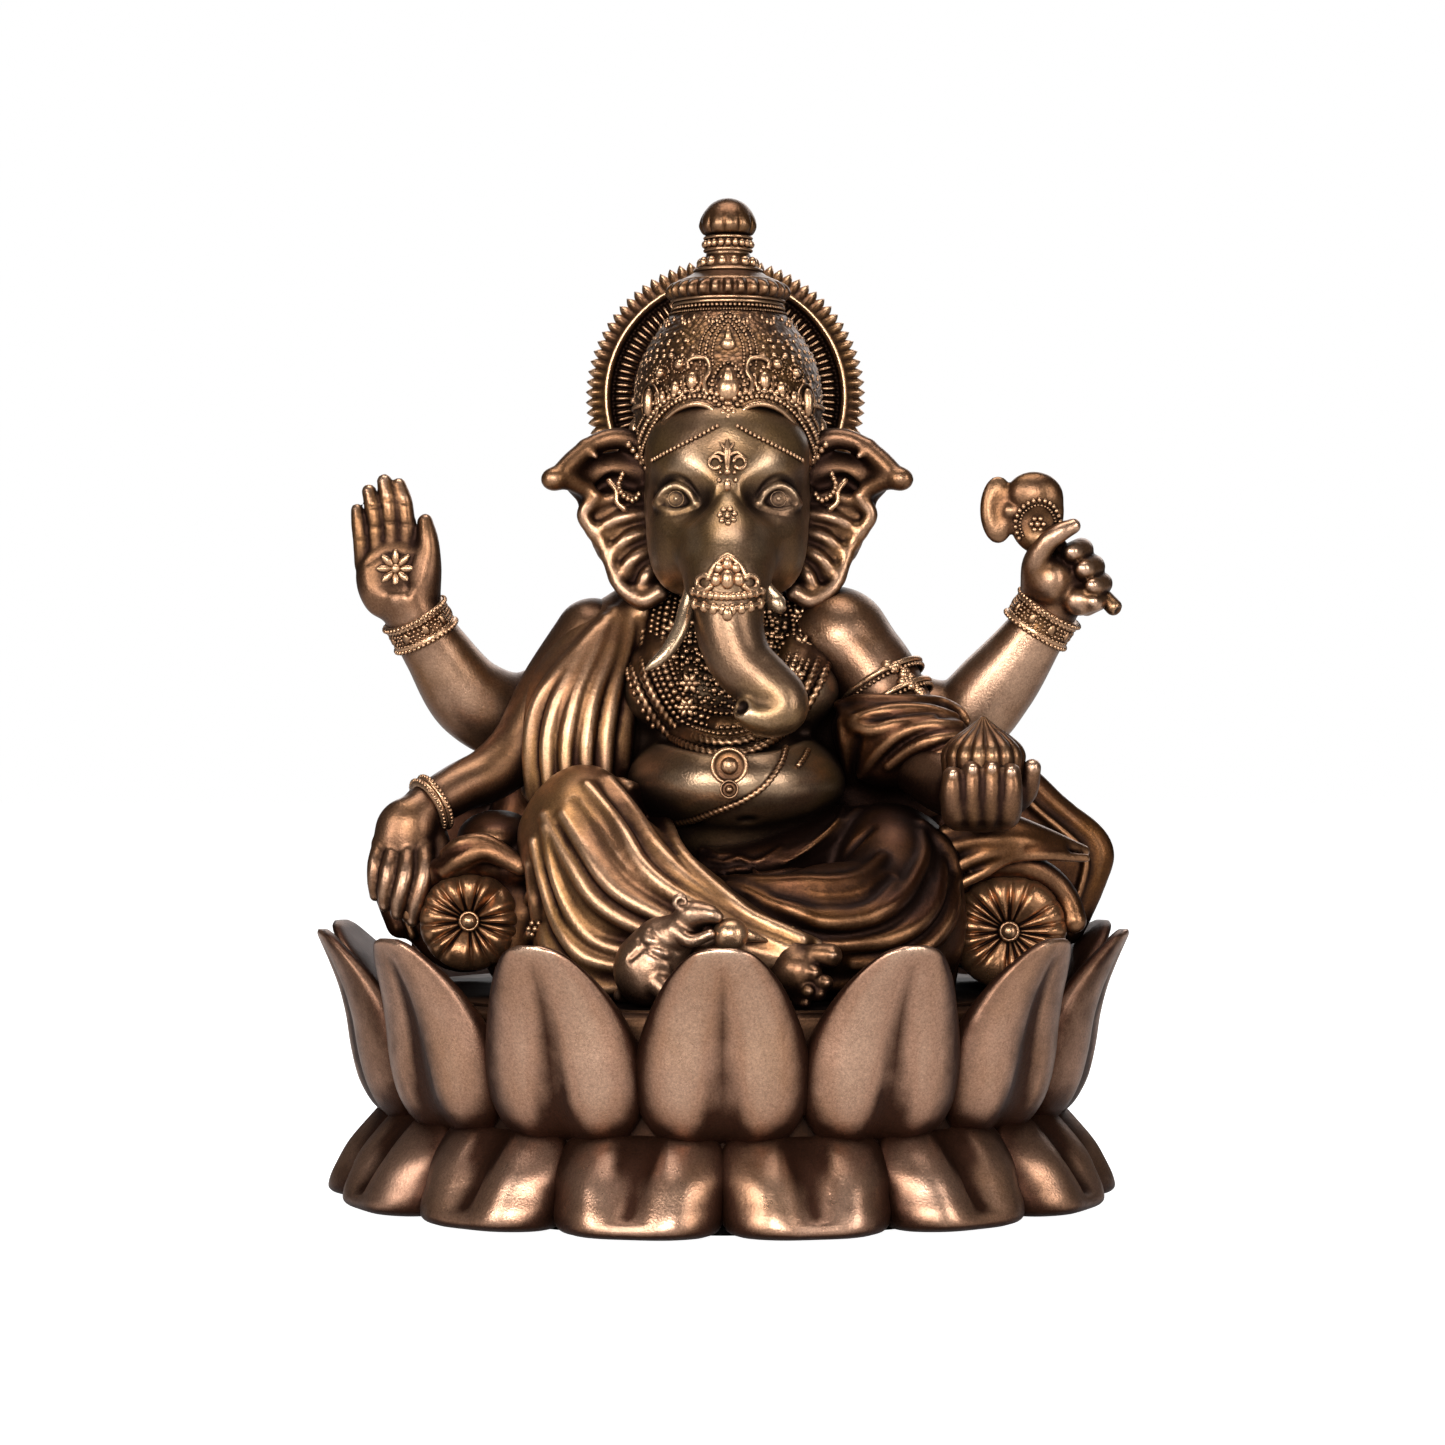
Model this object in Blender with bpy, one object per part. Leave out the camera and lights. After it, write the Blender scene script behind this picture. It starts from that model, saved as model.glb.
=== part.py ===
"""A cold-cast bronze statuette: an elephant-headed, four-armed deity seated at ease on a lotus.

Lengths are millimetres in this file and metres in Blender. The origin is the centre of the felt
under the base, +Z is up and the figure faces -Y. Right and left are the figure's own, so its
right hand is on the -X side.

Each casting is a few simple shapes joined together. Where two castings meet, the later one is cut
back by a slightly grown copy of the earlier one, which leaves the thin glue line between them.
"""

import math

import bmesh
import bpy
from mathutils import Euler, Matrix, Vector

MM = 0.001
GAP = 0.3  # glue line between two castings

# Lotus base
PETALS = 14
CORE_RADIUS = 50.0
SEAT_HEIGHT = 34.0
WAIST_HEIGHT = 14.0
TIP_RADIUS = 66.0
TIP_HEIGHT = 43.8
VALLEY_HEIGHT = 31.0
SKIRT_RADIUS = 64.5
FELT_THICKNESS = 1.2
PLATE_THICKNESS = 2.0

# Figure
CROWN_AXIS = (0.7, -7.0)
HALO_CENTRE = (0.5, 10.0, 130.8)
HALO_RADIUS = 23.2
HALO_TEETH = 48
PIN_RADIUS = 1.5
BOLSTER_RADIUS = 9.4
BOLSTER_HEIGHT = SEAT_HEIGHT + GAP + BOLSTER_RADIUS

SHAPES_OF = {}  # casting name -> the hidden shapes that neighbours are cut back by


def clear_scene():
    for obj in list(bpy.data.objects):
        bpy.data.objects.remove(obj)


def bronze(name, colour, roughness, metallic=0.85):
    material = bpy.data.materials.new(name)
    material.use_nodes = True
    shader = material.node_tree.nodes["Principled BSDF"]
    shader.inputs["Base Color"].default_value = (*colour, 1.0)
    shader.inputs["Roughness"].default_value = roughness
    shader.inputs["Metallic"].default_value = metallic
    return material


# ---------------------------------------------------------------- shapes


def ellipsoid(centre, radii, turn=(0, 0, 0), segments=14, rings=9):
    """turn is in degrees about X, Y and Z."""
    shape = bmesh.new()
    rotation = Euler([math.radians(a) for a in turn]).to_matrix().to_4x4()
    matrix = Matrix.Translation(centre) @ rotation @ Matrix.Diagonal((*radii, 1.0))
    bmesh.ops.create_uvsphere(shape, u_segments=segments, v_segments=rings, radius=1, matrix=matrix)
    return shape


def box(low, high):
    shape = bmesh.new()
    low, high = Vector(low), Vector(high)
    matrix = Matrix.Translation((low + high) / 2) @ Matrix.Diagonal((*(high - low), 1.0))
    bmesh.ops.create_cube(shape, size=1, matrix=matrix)
    return shape


def skinned(rings, closed=False):
    """Quads between rings of equal length. The two ends are capped unless the rings close on themselves."""
    shape = bmesh.new()
    loops = [[shape.verts.new(point) for point in ring] for ring in rings]
    pairs = list(zip(loops, loops[1:]))
    if closed:
        pairs.append((loops[-1], loops[0]))
    for first, second in pairs:
        for i in range(len(first)):
            j = (i + 1) % len(first)
            shape.faces.new((first[i], first[j], second[j], second[i]))
    if not closed:
        shape.faces.new(loops[0])
        shape.faces.new(loops[-1])
    bmesh.ops.recalc_face_normals(shape, faces=shape.faces)
    return shape


def sweep(path, radii, sides=12, flat=1.0, flat_axis=(0, 1, 0)):
    """A tapered tube through the path's points. flat below 1 thins it along flat_axis."""
    points = [Vector(p) for p in path]
    rings = []
    for i, point in enumerate(points):
        along = (points[min(i + 1, len(points) - 1)] - points[max(i - 1, 0)]).normalized()
        across = along.cross(Vector(flat_axis)).normalized()
        up = across.cross(along).normalized() * flat
        angles = [2 * math.pi * k / sides for k in range(sides)]
        rings.append([point + radii[i] * (math.cos(a) * across + math.sin(a) * up) for a in angles])
    return skinned(rings)


def turned(profile, centre, axis="Z", steps=20):
    """A profile of (radius, height) from the axis out and back to it, turned about an axis."""
    shape = bmesh.new()
    verts = [shape.verts.new((radius, 0, height)) for radius, height in profile]
    for first, second in zip(verts, verts[1:]):
        shape.edges.new((first, second))
    bmesh.ops.spin(
        shape, geom=shape.verts[:] + shape.edges[:], cent=(0, 0, 0), axis=(0, 0, 1),
        angle=2 * math.pi, steps=steps, use_duplicate=False,
    )
    bmesh.ops.remove_doubles(shape, verts=shape.verts, dist=0.001)
    bmesh.ops.recalc_face_normals(shape, faces=shape.faces)
    lay = Matrix.Rotation(math.radians(90), 4, "X") if axis == "Y" else Matrix.Identity(4)
    bmesh.ops.transform(shape, verts=shape.verts, matrix=Matrix.Translation(centre) @ lay)
    return shape


def rod(start, end, radius, sides=16):
    return sweep([start, end], [radius, radius], sides=sides, flat_axis=(0.1, 0.9, 0.3))


def slab(outline, back, front):
    """An outline of (x, z) points between two depths."""
    return skinned([[(x, back, z) for x, z in outline], [(x, front, z) for x, z in outline]])


# ---------------------------------------------------------------- castings


def placed(name, shape):
    """An object whose origin is the middle of its shape."""
    low = Vector([min(v.co[i] for v in shape.verts) for i in range(3)])
    high = Vector([max(v.co[i] for v in shape.verts) for i in range(3)])
    origin = (low + high) / 2
    bmesh.ops.translate(shape, verts=shape.verts, vec=-origin)
    bmesh.ops.scale(shape, verts=shape.verts, vec=(MM, MM, MM))
    mesh = bpy.data.meshes.new(name)
    shape.to_mesh(mesh)
    obj = bpy.data.objects.new(name, mesh)
    obj.location = origin * MM
    bpy.context.scene.collection.objects.link(obj)
    return obj


def hidden(obj):
    obj.hide_render = True
    obj.display_type = "WIRE"
    return obj


def boolean(obj, other, operation):
    modifier = obj.modifiers.new(operation.lower(), "BOOLEAN")
    modifier.object = other
    modifier.operation = operation
    modifier.solver = "EXACT"


def grown(name):
    """Copies of a casting's shapes, each one glue line larger all round."""
    copies = []
    for source in SHAPES_OF[name]:
        copy = hidden(bpy.data.objects.new(source.name + "_grown", source.data))
        copy.location = source.location
        bpy.context.scene.collection.objects.link(copy)
        swell = copy.modifiers.new("swell", "DISPLACE")
        swell.strength = GAP * MM
        swell.mid_level = 0.0
        copies.append(copy)
    return copies


def casting(name, material, *shapes, cut_by=(), drilled=()):
    """One solid: its shapes joined, cut back by the castings it meets, and drilled for its pins."""
    first = placed(name, shapes[0])
    first.data.materials.append(material)
    stock = hidden(bpy.data.objects.new(f"{name}_stock", first.data))
    stock.location = first.location
    bpy.context.scene.collection.objects.link(stock)
    SHAPES_OF[name] = [stock]
    for count, shape in enumerate(shapes[1:]):
        other = hidden(placed(f"{name}_stock_{count}", shape))
        SHAPES_OF[name].append(other)
        boolean(first, other, "UNION")
    for neighbour in cut_by:
        for cutter in grown(neighbour):
            boolean(first, cutter, "DIFFERENCE")
    for count, (start, end) in enumerate(drilled):
        hole = hidden(placed(f"{name}_hole_{count}", rod(start, end, PIN_RADIUS + GAP)))
        boolean(first, hole, "DIFFERENCE")
    first.data.shade_smooth()
    return first


def pin(name, material, start, end):
    """A steel pin, and the ends of the hole that takes it."""
    start, end = Vector(start), Vector(end)
    spare = (end - start).normalized() * GAP
    obj = placed(name, rod(start, end, PIN_RADIUS))
    obj.data.materials.append(material)
    return (start - spare, end + spare)


# ---------------------------------------------------------------- lotus base


def petal_ring(section, columns_per_petal=6):
    """A closed ring of petals. section(u) gives the (radius, height) points of one radial cut,
    where u runs from -1 to 1 across a petal."""
    rings = []
    columns = PETALS * columns_per_petal
    for column in range(columns):
        u = 2 * ((column % columns_per_petal) / columns_per_petal) - 1
        angle = 2 * math.pi * (column / columns) + math.pi / PETALS
        rings.append([(r * math.sin(angle), -r * math.cos(angle), z) for r, z in section(u)])
    return skinned(rings, closed=True)


def upper_section(u):
    """An upper petal stands up from the waist, swells, then flares out to its tip."""
    outline = (1 - abs(u) ** 2.2) ** 0.75
    top = VALLEY_HEIGHT + (TIP_HEIGHT - VALLEY_HEIGHT) * outline
    outer = []
    for step in range(6):
        rise = step / 5
        z = WAIST_HEIGHT + GAP + (top - WAIST_HEIGHT - GAP) * rise
        share = (z - WAIST_HEIGHT) / (TIP_HEIGHT - WAIST_HEIGHT)
        swell = 3.2 * math.sin(math.pi * min(1.0, 0.1 + share * 1.1)) + 3.6
        outer.append((52.0 + swell * (1 - abs(u) ** 3) + 10.4 * share ** 2.2, z))
    lean = outer[-1][0] - 3.2
    wall = CORE_RADIUS + GAP
    inner = [(lean, top - 0.8), (max(wall, lean - 4.5), (top + VALLEY_HEIGHT) / 2 - 1.5)]
    return [*outer, *inner, (wall, WAIST_HEIGHT + GAP)]


def lower_section(u):
    """A lower petal droops from the waist and kicks out at the foot."""
    reach = (1 - abs(u) ** 2.6) ** 0.6
    outer = []
    for step in range(5):
        fall = step / 4
        foot = 55.5 + (SKIRT_RADIUS - 55.5) * reach
        radius = 53.0 + (foot - 53.0) * fall ** 1.5 + 3.0 * math.sin(math.pi * fall) * reach
        outer.append((radius, WAIST_HEIGHT - (WAIST_HEIGHT - 2.2) * fall))
    sole = (outer[-1][0] - 1.2, 0.6)
    wall = CORE_RADIUS + GAP
    return [*outer, sole, (wall, 0.6), (wall, WAIST_HEIGHT)]


def build_base(petal, inner, felt):
    ledge = FELT_THICKNESS + GAP + PLATE_THICKNESS + 2 * GAP
    bottom = FELT_THICKNESS + GAP
    body_pin_at = (0.0, 4.0)
    profile = [
        (0, SEAT_HEIGHT), (CORE_RADIUS, SEAT_HEIGHT), (CORE_RADIUS, bottom), (46, bottom),
        (46, ledge), (0, ledge),
    ]
    hole = [((*body_pin_at, 28.2), (*body_pin_at, SEAT_HEIGHT + 2))]
    casting("lotus_core", inner, turned(profile, (0, 0, 0), steps=48), drilled=hole)
    plate = [(0, bottom), (46 - GAP, bottom), (46 - GAP, bottom + PLATE_THICKNESS), (0, bottom + PLATE_THICKNESS)]
    casting("base_plate", inner, turned(plate, (0, 0, 0), steps=32))
    pad = [(0, 0), (CORE_RADIUS, 0), (CORE_RADIUS, FELT_THICKNESS), (0, FELT_THICKNESS)]
    casting("felt_pad", felt, turned(pad, (0, 0, 0), steps=48))
    casting("upper_petal_ring", petal, petal_ring(upper_section))
    ring = petal_ring(lower_section)
    bmesh.ops.rotate(ring, verts=ring.verts, matrix=Matrix.Rotation(math.pi / PETALS, 3, "Z"))
    casting("lower_petal_ring", petal, ring)
    return body_pin_at


def seat_stock():
    """Everything below the seat, which trims the feet of what stands on it."""
    floor = hidden(placed("below_seat", box((-80, -80, 10), (80, 80, SEAT_HEIGHT + GAP))))
    SHAPES_OF["below_seat"] = [floor]


# ---------------------------------------------------------------- figure


def build_body(skin, cloth, steel, body_pin_at):
    body_hole = pin("body_pin", steel, (*body_pin_at, 28.5), (*body_pin_at, 46))
    neck_hole = pin("neck_pin", steel, (0.7, -4, 92), (0.7, -6, 106))
    right_hole = pin("rear_right_arm_pin", steel, (-14, 4, 85), (-28, 4.6, 79))
    left_hole = pin("rear_left_arm_pin", steel, (15, 4, 85), (29, 4.6, 79))
    casting(
        "torso", skin,
        ellipsoid((1, 2, 46), (23, 19, 17)),
        ellipsoid((2.6, -14, 66), (19, 21, 15), segments=20, rings=12),
        ellipsoid((1, -3, 84), (19, 14, 17)),
        ellipsoid((0.5, 0, 92), (23, 10, 9)),
        cut_by=["below_seat"],
        drilled=[body_hole, neck_hole, right_hole, left_hole],
    )
    casting(
        "right_leg", cloth,
        ellipsoid((-22.3, -22, 59.5), (9.4, 10, 10.4)),
        sweep([(-12, 2, 48), (-22, -18, 57)], [13, 10]),
        sweep([(-23, -24, 57), (-12, -36, 50), (2, -43, 44.5), (9, -45, 42)], [9, 8.3, 6.3, 4.4]),
        ellipsoid((-19, -24, 45), (13, 15, 13)),
        cut_by=["below_seat", "torso"],
    )
    casting(
        "left_leg", cloth,
        ellipsoid((27, -19, 48.5), (10, 14, 13)),
        sweep([(10, 2, 48), (25, -14, 50)], [12, 12]),
        sweep([(30, -26, 45), (18, -35, 44), (2, -37, 44)], [8.3, 8.8, 7.0]),
        cut_by=["below_seat", "torso", "right_leg"],
    )
    casting(
        "right_foot", skin,
        sweep([(11, -42, 43), (13.5, -47, 41.5), (14.2, -50, 39.5)], [4.2, 5.0, 4.2]),
        cut_by=["below_seat", "right_leg", "left_leg"],
    )
    return neck_hole, right_hole, left_hole


def build_head(skin, trim, steel, neck_hole):
    halo_hole = pin("halo_pin", steel, (0.7, 3.0, 134), (0.7, 10.2, 134))
    casting(
        "head", skin,
        ellipsoid((0.7, -14, 113), (13.2, 18.5, 17.3), segments=20, rings=12),
        ellipsoid((0.7, -25, 102), (8.6, 8.4, 8.4)),
        ellipsoid((0.7, -5, 100), (8, 7, 8)),
        cut_by=["torso"], drilled=[neck_hole],
    )
    path = [
        (0.7, -29, 101), (0.6, -34.5, 95), (1.3, -37, 89), (3.4, -38.6, 84), (6.8, -39.6, 80.6),
        (10.2, -40.2, 78.6), (9.6, -41.4, 75.8), (6.4, -41.8, 75.4),
    ]
    casting(
        "trunk", skin, sweep(path, [7, 5.5, 5.1, 4.8, 4.7, 4.3, 3.6, 3.0]),
        cut_by=["head", "torso"],
    )
    casting(
        "right_tusk", trim,
        sweep([(-5.4, -30, 97.5), (-7.3, -36, 91), (-11.4, -38.5, 85.2)], [1.7, 1.3, 0.5], sides=8),
        cut_by=["head", "trunk"],
    )
    casting(
        "left_tusk_stub", trim,
        sweep([(6.6, -29, 98), (8.8, -34.5, 94.6)], [1.8, 1.5], sides=8), cut_by=["head", "trunk"],
    )
    left_ear = [
        (11, 98), (15.5, 98), (19, 102.5), (22, 107), (24.4, 112.4), (25.4, 115), (29.2, 118),
        (24.6, 123.4), (20, 126), (11, 124),
    ]
    right_ear = [(1.4 - x * 0.965, z) for x, z in left_ear]
    for name, outline in (("left_ear", left_ear), ("right_ear", right_ear)):
        casting(name, skin, slab(outline, -4, -9.5), cut_by=["head", "torso"])
    dome = [
        (0, 118.5), (13.4, 118.5), (14.6, 124), (14.8, 130), (13.8, 135.5), (11.4, 140),
        (8.8, 143.4), (8.8, 145), (10.1, 146), (10.1, 148), (7.4, 149.4), (4.4, 151), (4, 152.5),
        (0, 152.5),
    ]
    casting(
        "crown", trim, turned(dome, (*CROWN_AXIS, 0)), cut_by=["head", "left_ear", "right_ear"],
        drilled=[halo_hole],
    )
    bulb = [
        (0, 152.8), (3.9, 152.8), (3.9, 155.8), (4.7, 157.8), (4.2, 160), (2.4, 161.8), (0, 162.6),
    ]
    casting("crown_finial", trim, turned(bulb, (*CROWN_AXIS, 0), steps=16))
    x, depth, z = HALO_CENTRE
    rim = []
    for step in range(2 * HALO_TEETH):
        radius = HALO_RADIUS - (1.6 if step % 2 else 0.0)
        angle = math.pi * step / HALO_TEETH
        rim.append((x + radius * math.cos(angle), z + radius * math.sin(angle)))
    casting("halo", trim, slab(rim, depth + 1.7, depth - 1.7), drilled=[halo_hole])


def build_arms(skin, trim, right_hole, left_hole):
    fingers_up = [
        sweep([(-58.6, -5, 103), (-59.3, -5.6, 112.4)], [1.5, 1.0], sides=8),
        sweep([(-56, -5, 105), (-57.3, -5.6, 115.2)], [1.7, 1.1], sides=8),
        sweep([(-53.4, -5, 105), (-55, -5.6, 116.8)], [1.8, 1.1], sides=8),
        sweep([(-51, -5, 104), (-52.5, -5.6, 116.4)], [1.8, 1.1], sides=8),
        sweep([(-47.8, -5, 99), (-48.2, -6, 111.2)], [2.3, 1.2], sides=8),
    ]
    casting(
        "rear_right_arm", skin,
        sweep(
            [(-20, 4, 83), (-32, 5, 76), (-40.5, 2, 80), (-46.6, -2, 88.5), (-50, -4, 94), (-52, -4.6, 98)],
            [7, 7.4, 6.9, 5.2, 4.5, 4.8],
        ),
        ellipsoid((-53.2, -5, 100.5), (6.9, 3.2, 8)), *fingers_up,
        cut_by=["torso"], drilled=[right_hole],
    )
    casting(
        "rear_left_arm", skin,
        sweep(
            [(20, 4, 83), (32, 5, 74.5), (40.5, 2.6, 77.5), (48.4, -1.5, 87.5), (52.2, -3, 93), (55, -3.6, 98)],
            [7, 7.4, 6.9, 5.4, 4.8, 4.6],
        ),
        ellipsoid((57.2, -4, 101), (5.6, 5.6, 7.4), turn=(0, 30, 0)),
        cut_by=["torso"], drilled=[left_hole],
    )
    casting(
        "front_right_arm", skin,
        sweep(
            [(-21, -4, 91), (-28, -5, 82), (-33.5, -6, 73.5), (-41, -10, 68.6), (-47.6, -14, 64), (-50.6, -17, 59)],
            [6.6, 6.2, 5.8, 4.9, 4.1, 4.1],
        ),
        ellipsoid((-51, -17.5, 57.5), (5.6, 5.6, 8), turn=(0, 12, 0)),
        sweep([(-50.5, -20, 54), (-48.5, -22, 47)], [4.6, 2.6]),
        cut_by=["torso", "right_leg", "rear_right_arm"],
    )
    casting(
        "front_left_arm", skin,
        sweep(
            [(21, -6, 92), (27.5, -8, 84), (32.6, -10, 75.4), (37, -18, 69.5), (40, -25, 66.6)],
            [6.8, 6.6, 5.8, 4.9, 4.2],
        ),
        ellipsoid((20, -5, 92), (8, 7.6, 7.2)),
        ellipsoid((41, -31, 65.5), (6.6, 6.6, 5.8)),
        cut_by=["torso", "left_leg", "rear_left_arm"],
    )
    bangle = {
        "rear_right_bracelet": ((-46.0, -1.6, 87.6), (-49.6, -3.8, 93.3), 5.9, "rear_right_arm"),
        "rear_left_bracelet": ((48.0, -1.3, 87.0), (52.2, -3.0, 93.0), 6.1, "rear_left_arm"),
        "front_right_bracelet": ((-44.6, -12.2, 66.1), (-48.0, -14.2, 63.7), 5.3, "front_right_arm"),
        "left_armlet": ((28.2, -8.2, 83.2), (31.4, -9.5, 77.6), 7.2, "front_left_arm"),
    }
    for name, (start, end, radius, arm) in bangle.items():
        neighbours = [arm, "torso", "rear_left_arm"] if name == "left_armlet" else [arm]
        casting(name, trim, rod(start, end, radius), cut_by=neighbours)
    casting(
        "modak", trim,
        turned([(0, 65), (5, 65), (6.3, 70), (5.4, 73.4), (2.2, 76), (0, 78.3)], (40.6, -31, 0), steps=16),
        cut_by=["front_left_arm"],
    )
    casting(
        "axe", trim,
        sweep([(63, -8, 96.4), (57, -9, 102), (51, -9, 110)], [1.4, 1.4, 1.6], sides=8),
        ellipsoid((51, -9, 111.3), (4.6, 2.6, 6.2), turn=(0, -12, 0)),
        slab([(46.6, 109.4), (42.4, 106.4), (41.6, 111.4), (43.2, 116.4), (46.8, 113.6)], -7.8, -10.2),
        cut_by=["rear_left_arm"],
    )


def build_dress(cloth, trim, right_hole):
    casting(
        "right_shoulder_shawl", cloth,
        sweep(
            [(-17, -3, 99), (-21.5, -5, 91), (-25, -7.5, 81), (-25.5, -9, 72), (-24.5, -10, 64)],
            [6.6, 9.4, 10.9, 11.4, 9], sides=16,
        ),
        cut_by=["torso", "right_leg", "rear_right_arm", "front_right_arm", "head", "right_ear"],
        drilled=[right_hole],
    )
    casting(
        "left_arm_shawl", cloth,
        ellipsoid((28.6, -14.5, 76), (10, 9, 6.6), turn=(0, 10, 0)),
        cut_by=["torso", "left_leg", "front_left_arm", "rear_left_arm", "left_armlet"],
    )
    collar = [
        (-13.6, -10, 97), (-14, -15.5, 88), (-11.4, -22.5, 80), (-5.4, -29.4, 75.6), (2, -31.6, 73.6),
        (9.4, -30, 74.8), (14.8, -23.5, 79.5), (17, -16.5, 87), (17, -10.5, 96),
    ]
    casting(
        "collar_necklace", trim, sweep(collar, [3.6] * len(collar), sides=10, flat=0.55),
        cut_by=["torso", "trunk", "head", "right_tusk", "right_shoulder_shawl", "left_ear", "right_ear",
                "front_left_arm"],
    )
    casting(
        "belly_pendant", trim, ellipsoid((1.2, -34.0, 70.6), (3.2, 1.8, 3.2)),
        cut_by=["torso", "collar_necklace"],
    )
    thread = [
        (11.8, -32.2, 72.6), (10.6, -33.4, 69.6), (7, -35.4, 65.4), (2, -35.8, 62.6), (-4, -34.4, 60.6),
        (-8.4, -31.8, 59.6),
    ]
    casting(
        "sacred_thread", trim, sweep(thread, [1.0] * len(thread), sides=8),
        cut_by=["torso", "belly_pendant", "collar_necklace", "right_leg"],
    )


def build_seat(cloth, trim):
    for side, name in ((-1, "right"), (1, "left")):
        x = side * 44 - 0.5
        front, back = -24.0, 8.0
        roll = [(0, -back), (BOLSTER_RADIUS - 1, -back), (BOLSTER_RADIUS, -back + 1.5),
                (BOLSTER_RADIUS, -front - 1.5), (BOLSTER_RADIUS - 1.6, -front), (0, -front)]
        arm = f"front_{name}_arm"
        casting(
            f"{name}_bolster", cloth, turned(roll, (x, 0, BOLSTER_HEIGHT), axis="Y"),
            cut_by=["upper_petal_ring", f"{name}_leg", arm],
        )
        casting(f"{name}_bolster_button", trim, ellipsoid((x, front - GAP - 1.3, BOLSTER_HEIGHT), (1.6, 1.2, 1.6), segments=10, rings=6))
        inner, outer = BOLSTER_RADIUS + GAP, BOLSTER_RADIUS + 2.6
        arc = [math.radians(a) for a in range(10, 171, 20)]
        saddle = [(x + outer * math.cos(a), BOLSTER_HEIGHT + outer * math.sin(a)) for a in arc]
        saddle += [(x + inner * math.cos(a), BOLSTER_HEIGHT + inner * math.sin(a)) for a in reversed(arc)]
        casting(
            f"{name}_bolster_cover", cloth, slab(saddle, 6.0, -25.0),
            cut_by=["upper_petal_ring", f"{name}_leg", arm],
        )
    for side, name in ((-1, "right"), (1, "left")):
        reach = 16 if side > 0 else 12
        casting(
            f"{name}_side_cushion", cloth,
            ellipsoid((side * 46, 14, 52), (reach, 5, 17), turn=(0, side * 8, 0)),
            cut_by=["below_seat", "upper_petal_ring", f"rear_{name}_arm", f"{name}_bolster_cover",
                    f"{name}_bolster"],
        )


def build_mouse(skin, trim):
    casting(
        "mouse", skin,
        ellipsoid((-10.6, -47, 41), (5.0, 4.6, 6.8), turn=(0, 20, 0)),
        ellipsoid((-4.6, -49.5, 45), (4.6, 3.2, 3.2), turn=(0, -20, 0)),
        ellipsoid((-4.4, -50, 48.4), (4.0, 2.8, 2.6)),
        cut_by=["below_seat", "right_leg", "upper_petal_ring"],
    )
    casting(
        "mouse_sweet", trim, ellipsoid((1.8, -51, 46), (2.6, 2.6, 2.6), segments=12, rings=8),
        cut_by=["mouse", "right_leg"],
    )


def main():
    clear_scene()
    skin = bronze("skin_bronze", (0.19, 0.125, 0.07), 0.36)
    cloth = bronze("cloth_bronze", (0.24, 0.13, 0.07), 0.38)
    petal = bronze("petal_bronze", (0.25, 0.155, 0.105), 0.36)
    trim = bronze("trim_bronze", (0.27, 0.15, 0.075), 0.33)
    inner = bronze("raw_resin", (0.16, 0.09, 0.06), 0.6, metallic=0.2)
    felt = bronze("felt", (0.02, 0.02, 0.02), 0.95, metallic=0.0)
    steel = bronze("steel", (0.55, 0.55, 0.56), 0.3, metallic=1.0)
    body_pin_at = build_base(petal, inner, felt)
    seat_stock()
    neck_hole, right_hole, left_hole = build_body(skin, cloth, steel, body_pin_at)
    build_head(skin, trim, steel, neck_hole)
    build_arms(skin, trim, right_hole, left_hole)
    build_dress(cloth, trim, right_hole)
    build_seat(cloth, trim)
    build_mouse(skin, trim)


main()
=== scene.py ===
"""The looks of a cold-cast bronze statuette: an elephant-headed, four-armed deity on a lotus.

Lengths are millimetres here and metres in Blender. +Z is up and the figure faces -Y. Right and
left are the figure's own, so its right hand is on the -X side.

The figure is modelled as clay: each lump is a grid of distances to its surface, to which limbs,
folds and grooves are added and from which they are cut, before it is turned into a mesh. Beads,
ropes, petals and pleats are built straight from their outlines.
"""

import math

import bpy
import numpy as np
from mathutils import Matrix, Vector


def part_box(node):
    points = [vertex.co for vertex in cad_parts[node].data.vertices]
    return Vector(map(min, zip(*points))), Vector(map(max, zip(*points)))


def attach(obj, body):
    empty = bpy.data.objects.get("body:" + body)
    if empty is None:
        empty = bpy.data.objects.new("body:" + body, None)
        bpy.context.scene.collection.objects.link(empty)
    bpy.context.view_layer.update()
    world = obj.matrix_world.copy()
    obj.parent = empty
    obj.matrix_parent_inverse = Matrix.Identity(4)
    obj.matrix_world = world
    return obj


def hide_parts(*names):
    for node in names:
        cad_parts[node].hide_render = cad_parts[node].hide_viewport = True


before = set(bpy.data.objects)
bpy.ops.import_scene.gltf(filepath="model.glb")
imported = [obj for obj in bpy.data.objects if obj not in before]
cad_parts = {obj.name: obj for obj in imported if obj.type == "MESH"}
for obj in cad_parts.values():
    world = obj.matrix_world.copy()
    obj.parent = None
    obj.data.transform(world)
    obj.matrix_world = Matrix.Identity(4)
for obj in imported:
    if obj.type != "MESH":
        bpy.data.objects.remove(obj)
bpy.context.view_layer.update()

MM = 0.001
# a distance that no surface comes near
FAR = 50.0
# the seat's top face, where whatever stands on it is cut off flat
SEAT_TOP = 34.3


# ---------------------------------------------------------------- small helpers


def vec(*xyz):
    return np.array(xyz, float)


def unit(v):
    v = np.asarray(v, float)
    return v / (np.linalg.norm(v, axis=-1, keepdims=True) + 1e-12)


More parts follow.
